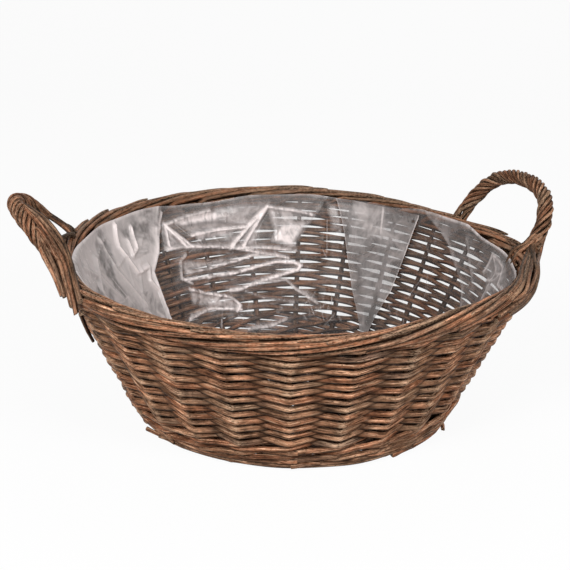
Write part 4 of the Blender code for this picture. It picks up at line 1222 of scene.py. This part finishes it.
class PLANTER_OT_liner(bpy.types.Operator):
    """Lays the clear film in the basket, with its tucks, creases and doubled folds"""

    bl_idname = "planter.liner"
    bl_label = "Liner"

    def execute(self, context):
        film = sizes("film")
        finish = clear_film("liner_film_clear")
        radius, height = film_profile()
        far_wall = np.radians(np.arange(-30, 190, 0.25))
        near_wall = np.radians(np.arange(190, 330, 1.0))
        around = np.concatenate([far_wall, near_wall])
        angle, level = np.meshgrid(around, height)
        on_side = np.clip((radius - 0.095) / 0.02, 0, 1)[:, None]  # 0 on the floor, 1 on the wall
        lift, lit = self.folded(angle, level)
        waves = 0.0009 * (1 + np.sin(9 * angle + 2 * np.sin(3 * angle) + 40 * level))
        reach = radius[:, None] - (lift + waves + 0.0005) * on_side
        reach = reach + self.flare(around) * np.clip(1 - (film.edge - level) / 0.006, 0, 1) ** 2
        straight_to = 0.10  # the height from which the rows of the grid follow the cut edge
        top = np.clip((level - straight_to) / (film.edge - straight_to), 0, 1)
        raised = level - top * self.below_edge(around)
        points = squeezed(polar(reach, angle, raised))
        haze = np.full_like(reach, film.haze)
        haze[:, len(far_wall) :] = 0.05
        for outline, milky in DOUBLED:
            covered = within(angle, level, outline, 0.0014)
            haze = np.maximum(haze, film.haze + (milky - film.haze) * covered)
        lit = np.maximum(lit, self.lit_rim(around, level))
        marks = {"haze": haze, "lit": lit, "hole": self.holed(angle, level)}
        liner = film_mesh("liner_film", points, marks, True, finish)
        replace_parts(liner, "liner")
        pleat = self.pleat(finish)
        return {"FINISHED"}

    def flare(self, around):
        """How far the film's edge stands out over the border, by direction."""
        places = (-30, 0, 20, 150, 172, 225, 250, 330)
        return np.interp(np.degrees(around), places, (1, 1, 0, 0, 3.2, 3.6, 1.5, 1)) / 1000

    def below_edge(self, around):
        """How far the film's real edge lies below its highest line, by direction."""
        places = (-30, -22, -5, 8, 14, 34, 44, 75, 88, 105, 113, 120, 200, 320)
        lower = (1.5, 6, 5, 1, -4, -3, 0.5, 1.2, 2.6, 4.6, 4, 1, 0, 1.2)
        waves = 0.0007 * (1 + np.sin(7 * around + 1.1)) + 0.0005 * np.sin(19 * around)
        return np.interp(np.degrees(around), places, lower) / 1000 + waves

    def lit_rim(self, around, level):
        """The painted highlight along the cut edge of the film, by direction and height."""
        places, bright = (-30, 20, 40, 125, 150, 230, 260), (1, 0.8, 0.25, 0.25, 1, 1, 0.5)
        at_edge = np.clip(1.5 - (sizes("film").edge - level) / 0.0016, 0, 1)
        return at_edge * np.interp(np.degrees(around), places, bright)

    def folded(self, angle, level):
        """How far the folds lift the film from the wall, and the painted highlights on them."""
        rng = np.random.default_rng(81)
        lift, lit = np.zeros_like(angle), np.zeros_like(angle)
        for line, width, tall, bright in FOLDS:
            away, left = from_line(angle, level, line)
            lift = np.maximum(lift, tall / 1000 * np.clip(1 - away / (width / 1000), 0, 1) ** 1.2)
            edge = 0.85 * np.clip(1.3 - away / 0.0017, 0, 1)
            glow = edge + np.where(left, 0.55, 0.15) * np.exp(-away / 0.0042)
            lit = np.maximum(lit, bright * glow)
        for outline, bright in LIT_FACES:
            lit = np.maximum(lit, bright * within(angle, level, outline, 0.0050))
        small_creases = 260
        for _ in range(small_creases):
            at, high = rng.uniform(-30, 190), rng.uniform(18, 124)
            lean = rng.normal(0, 0.6) + (pi / 2 if rng.uniform() < 0.4 else 0)
            long = rng.uniform(6, 30)
            end_at = at + np.degrees(long / 1000 * sin(lean) / 0.155)
            away, _ = from_line(angle, level, ((at, high), (end_at, high - long * cos(lean))))
            width, tall = rng.uniform(0.0012, 0.0045), rng.uniform(0.0002, 0.0010)
            lift = lift + tall * np.clip(1 - away / width, 0, 1)
            # Some small creases get a painted highlight line
            if rng.uniform() < 0.35:
                lit = np.maximum(lit, rng.uniform(0.15, 0.5) * np.clip(1.1 - away / 0.0007, 0, 1))
        return lift, lit

    def holed(self, angle, level):
        """Where small holes open the film."""
        opened = np.zeros_like(angle)
        for at, high, wide, amount in HOLES:
            away = np.hypot(*arc_apart(angle, level, at, high)) * 1000
            opened = np.maximum(opened, amount * np.clip((wide - away) / 0.9, 0, 1))
        return opened

    def pleat(self, finish):
        """The pleat: a panel of doubled film before the wall, narrowing towards the floor."""
        film = sizes("film")
        low, high = 0.020, film.edge - 0.0020
        down, over = np.meshgrid(np.linspace(0, 1, 90), np.linspace(0, 1, 60), indexing="ij")
        level = high + (low - high) * down
        starts = {low: 45, 0.032: 47.5, 0.057: 53.2, 0.080: 56.8, 0.107: 60.1, 0.130: 63.5}
        ends = {low: 42.0, 0.038: 40.2, 0.063: 36.6, 0.095: 35.1, 0.125: 34.2, 0.134: 33.6}
        start = np.interp(level, list(starts), list(starts.values()))
        end = np.interp(level, list(ends), list(ends.values()))
        angle = np.radians(start + (end - start) * over)
        bulge = np.sin(pi * over) * 0.0012 + 0.0005 * np.sin(14 * over + 60 * level)
        bulge = bulge * np.clip((level - 0.035) / 0.03, 0, 1)
        points = squeezed(polar(film_radius(level) - 0.0045 - bulge, angle, level))
        haze = film.doubled * np.interp(level, (low, 0.045, 0.085, 0.110), (0.85, 0.80, 0.86, 1.08))
        haze = haze * (1 - 0.12 * np.clip(1 - over / 0.3, 0, 1))
        wide = (start - end) * 2.9  # of the pleat, in mm
        # Painted highlights along the pleat's edges and its inner fold
        right = np.clip(1.2 - (1 - over) * wide / 0.9, 0, 1) * 0.85
        left = np.clip(1.2 - over * wide / 0.8, 0, 1) * 0.35
        away, _ = from_line(angle, level, ((47.6, 131.0), (46.0, 103.8)))
        inner = 0.5 * np.clip(1.2 - away / 0.0008, 0, 1)
        lit = np.maximum(np.maximum(left, right), inner) * np.interp(level, (0.03, 0.07), (0.1, 1))
        marks = {"haze": haze, "lit": lit, "hole": self.holed(angle, level)}
        return film_mesh("liner_pleat", points, marks, False, finish)


# Stage


class PLANTER_OT_stage(bpy.types.Operator):
    """Sets up the pale floor and backdrop, the lamps and the camera"""

    bl_idname = "planter.stage"
    bl_label = "Stage"

    def execute(self, context):
        self.ground()
        self.sky()
        self.lamps()
        self.camera()
        context.scene.view_settings.view_transform = "Standard"
        return {"FINISHED"}

    def ground(self):
        """One sheet: floor, a wide curve and the backdrop."""
        colours = sizes("colours")
        level, bend, tall = 1.2, 0.8, 3.2
        profile = [(-3.0, 0.0), (level, 0.0)]
        for step in range(1, 13):
            turned = step / 12 * pi / 2
            profile.append((level + bend * sin(turned), bend - bend * cos(turned)))
        profile.append((level + bend, tall))
        right = Vector((cos(FRONT), sin(FRONT), 0))
        back = Vector((-sin(FRONT), cos(FRONT), 0))
        points, faces = [], []
        for along, high in profile:
            for aside in (-4.0, 4.0):
                points.append(back * along + right * aside + Vector((0, 0, high - 0.0002)))
        for i in range(len(profile) - 1):
            faces.append((2 * i, 2 * i + 1, 2 * i + 3, 2 * i + 2))
        mesh = bpy.data.meshes.new("ground")
        mesh.from_pydata(points, [], faces)
        mesh.shade_smooth()
        n = Nodes("ground_paper")
        n.shader.inputs["Roughness"].default_value = 0.9
        n.shader.inputs["Specular IOR Level"].default_value = 0.1
        ray = n.add("LightPath")
        seen = n.math("MAXIMUM", ray.outputs["Is Camera Ray"], ray.outputs["Is Transmission Ray"])
        seen = n.math("MAXIMUM", seen, ray.outputs["Is Glossy Ray"])
        bounced = tuple(0.25 * c for c in colours.ground)
        n.link(n.mix(seen, bounced, tuple(colours.ground)), n.shader.inputs["Base Color"])
        glow = n.add("Emission")
        glow.inputs["Color"].default_value = (1, 1, 1, 1)
        glow.inputs["Strength"].default_value = 1.0
        blend = n.add("MixShader")
        n.link(n.math("MULTIPLY", seen, 0.93), blend.inputs[0])
        n.link(n.shader.outputs[0], blend.inputs[1])
        n.link(glow.outputs[0], blend.inputs[2])
        out = [node for node in n.tree.nodes if node.type == "OUTPUT_MATERIAL"][0]
        n.link(blend.outputs[0], out.inputs["Surface"])
        mesh.materials.append(n.material)
        sheet = bpy.data.objects.new("ground", mesh)
        bpy.context.scene.collection.objects.link(sheet)

    def sky(self):
        """A pale room: white where it is seen, dim as a light."""
        world = bpy.data.worlds.new("pale_room")
        bpy.context.scene.world = world
        world.use_nodes = True
        tree = world.node_tree
        room = tree.nodes["Background"]
        ray = tree.nodes.new("ShaderNodeLightPath")
        seen = ray.outputs["Is Camera Ray"]
        for other in ("Is Transmission Ray", "Is Glossy Ray"):
            either = tree.nodes.new("ShaderNodeMath")
            either.operation = "MAXIMUM"
            tree.links.new(seen, either.inputs[0])
            tree.links.new(ray.outputs[other], either.inputs[1])
            seen = either.outputs[0]
        level = tree.nodes.new("ShaderNodeMapRange")
        level.inputs["To Min"].default_value = 0.10
        level.inputs["To Max"].default_value = 1.0
        tree.links.new(seen, level.inputs["Value"])
        tree.links.new(level.outputs[0], room.inputs["Strength"])
        room.inputs["Color"].default_value = (1, 1, 1, 1)

    def lamps(self):
        """Two soft lamps before the basket and a weak one behind it."""
        right = Vector((cos(FRONT), sin(FRONT), 0))
        front = Vector((sin(FRONT), -cos(FRONT), 0))
        target = Vector((0, 0, 0.08))
        for name, aside, forward, high, side, power in (
            ("key_softbox", -0.8, 1.40, 1.10, 0.6, 29.0),
            ("fill_softbox", 1.2, 1.1, 0.95, 0.5, 19.0),
            ("back_softbox", 0.2, -1.2, 1.4, 0.8, 5.0),
        ):
            lamp = bpy.data.lights.new(name, "AREA")
            lamp.shape = "SQUARE"
            lamp.size = side
            lamp.energy = power
            thing = bpy.data.objects.new(name, lamp)
            thing.location = right * aside + front * forward + Vector((0, 0, high))
            thing.rotation_euler = (target - thing.location).to_track_quat("-Z", "Y").to_euler()
            bpy.context.scene.collection.objects.link(thing)

    def camera(self):
        """Looks at the basket from where the photograph was taken."""
        elevation, roll, distance = radians(21.25), radians(1.68), 1.2
        flat = cos(elevation)
        away = Vector((sin(FRONT) * flat, -cos(FRONT) * flat, sin(elevation)))
        picture = 570  # pixels of the photograph, each way
        focal, middle_x, middle_y = 1416, 293.8, 323.7  # in the same pixels
        lens = bpy.data.cameras.new("camera")
        lens.sensor_width = 36.0
        lens.lens = focal / picture * 36.0
        lens.shift_x = (picture / 2 - middle_x) / picture
        lens.shift_y = (middle_y - picture / 2) / picture
        lens.clip_start = 0.05
        thing = bpy.data.objects.new("camera", lens)
        turned = away.to_track_quat("Z", "Y").to_matrix() @ Matrix.Rotation(roll, 3, "Z")
        place = Vector((0, 0, 0.07)) + away * distance
        thing.matrix_world = Matrix.Translation(place) @ turned.to_4x4()
        bpy.context.scene.collection.objects.link(thing)
        bpy.context.scene.camera = thing


OPERATORS = (
    PLANTER_OT_base,
    PLANTER_OT_stakes,
    PLANTER_OT_side_weave,
    PLANTER_OT_foot,
    PLANTER_OT_top_rows,
    PLANTER_OT_border,
    PLANTER_OT_handles,
    PLANTER_OT_liner,
    PLANTER_OT_stage,
)


class PLANTER_PT_sidebar(bpy.types.Panel):
    """Lists the basket's pieces and their sizes"""

    bl_idname = "PLANTER_PT_sidebar"
    bl_label = "Wicker Planter Basket"
    bl_space_type = "VIEW_3D"
    bl_region_type = "UI"
    bl_category = "Planter"

    def draw(self, context):
        for operator in OPERATORS:
            self.layout.operator(operator.bl_idname)
        for name, group in GROUPS.items():
            box = self.layout.box()
            for key in group.__annotations__:
                box.prop(getattr(context.scene, name), key)


def register():
    for name, group in GROUPS.items():
        bpy.utils.register_class(group)
        setattr(bpy.types.Scene, name, PointerProperty(type=group))
    for part in (*OPERATORS, PLANTER_PT_sidebar):
        bpy.utils.register_class(part)


def unregister():
    for part in reversed((*OPERATORS, PLANTER_PT_sidebar)):
        bpy.utils.unregister_class(part)
    for name, group in reversed(GROUPS.items()):
        delattr(bpy.types.Scene, name)
        bpy.utils.unregister_class(group)


def main():
    register()
    bpy.ops.planter.base()
    bpy.ops.planter.stakes()
    bpy.ops.planter.side_weave()
    bpy.ops.planter.foot()
    bpy.ops.planter.top_rows()
    bpy.ops.planter.border()
    bpy.ops.planter.handles()
    bpy.ops.planter.liner()
    bpy.ops.planter.stage()


if __name__ == "__main__":
    main()
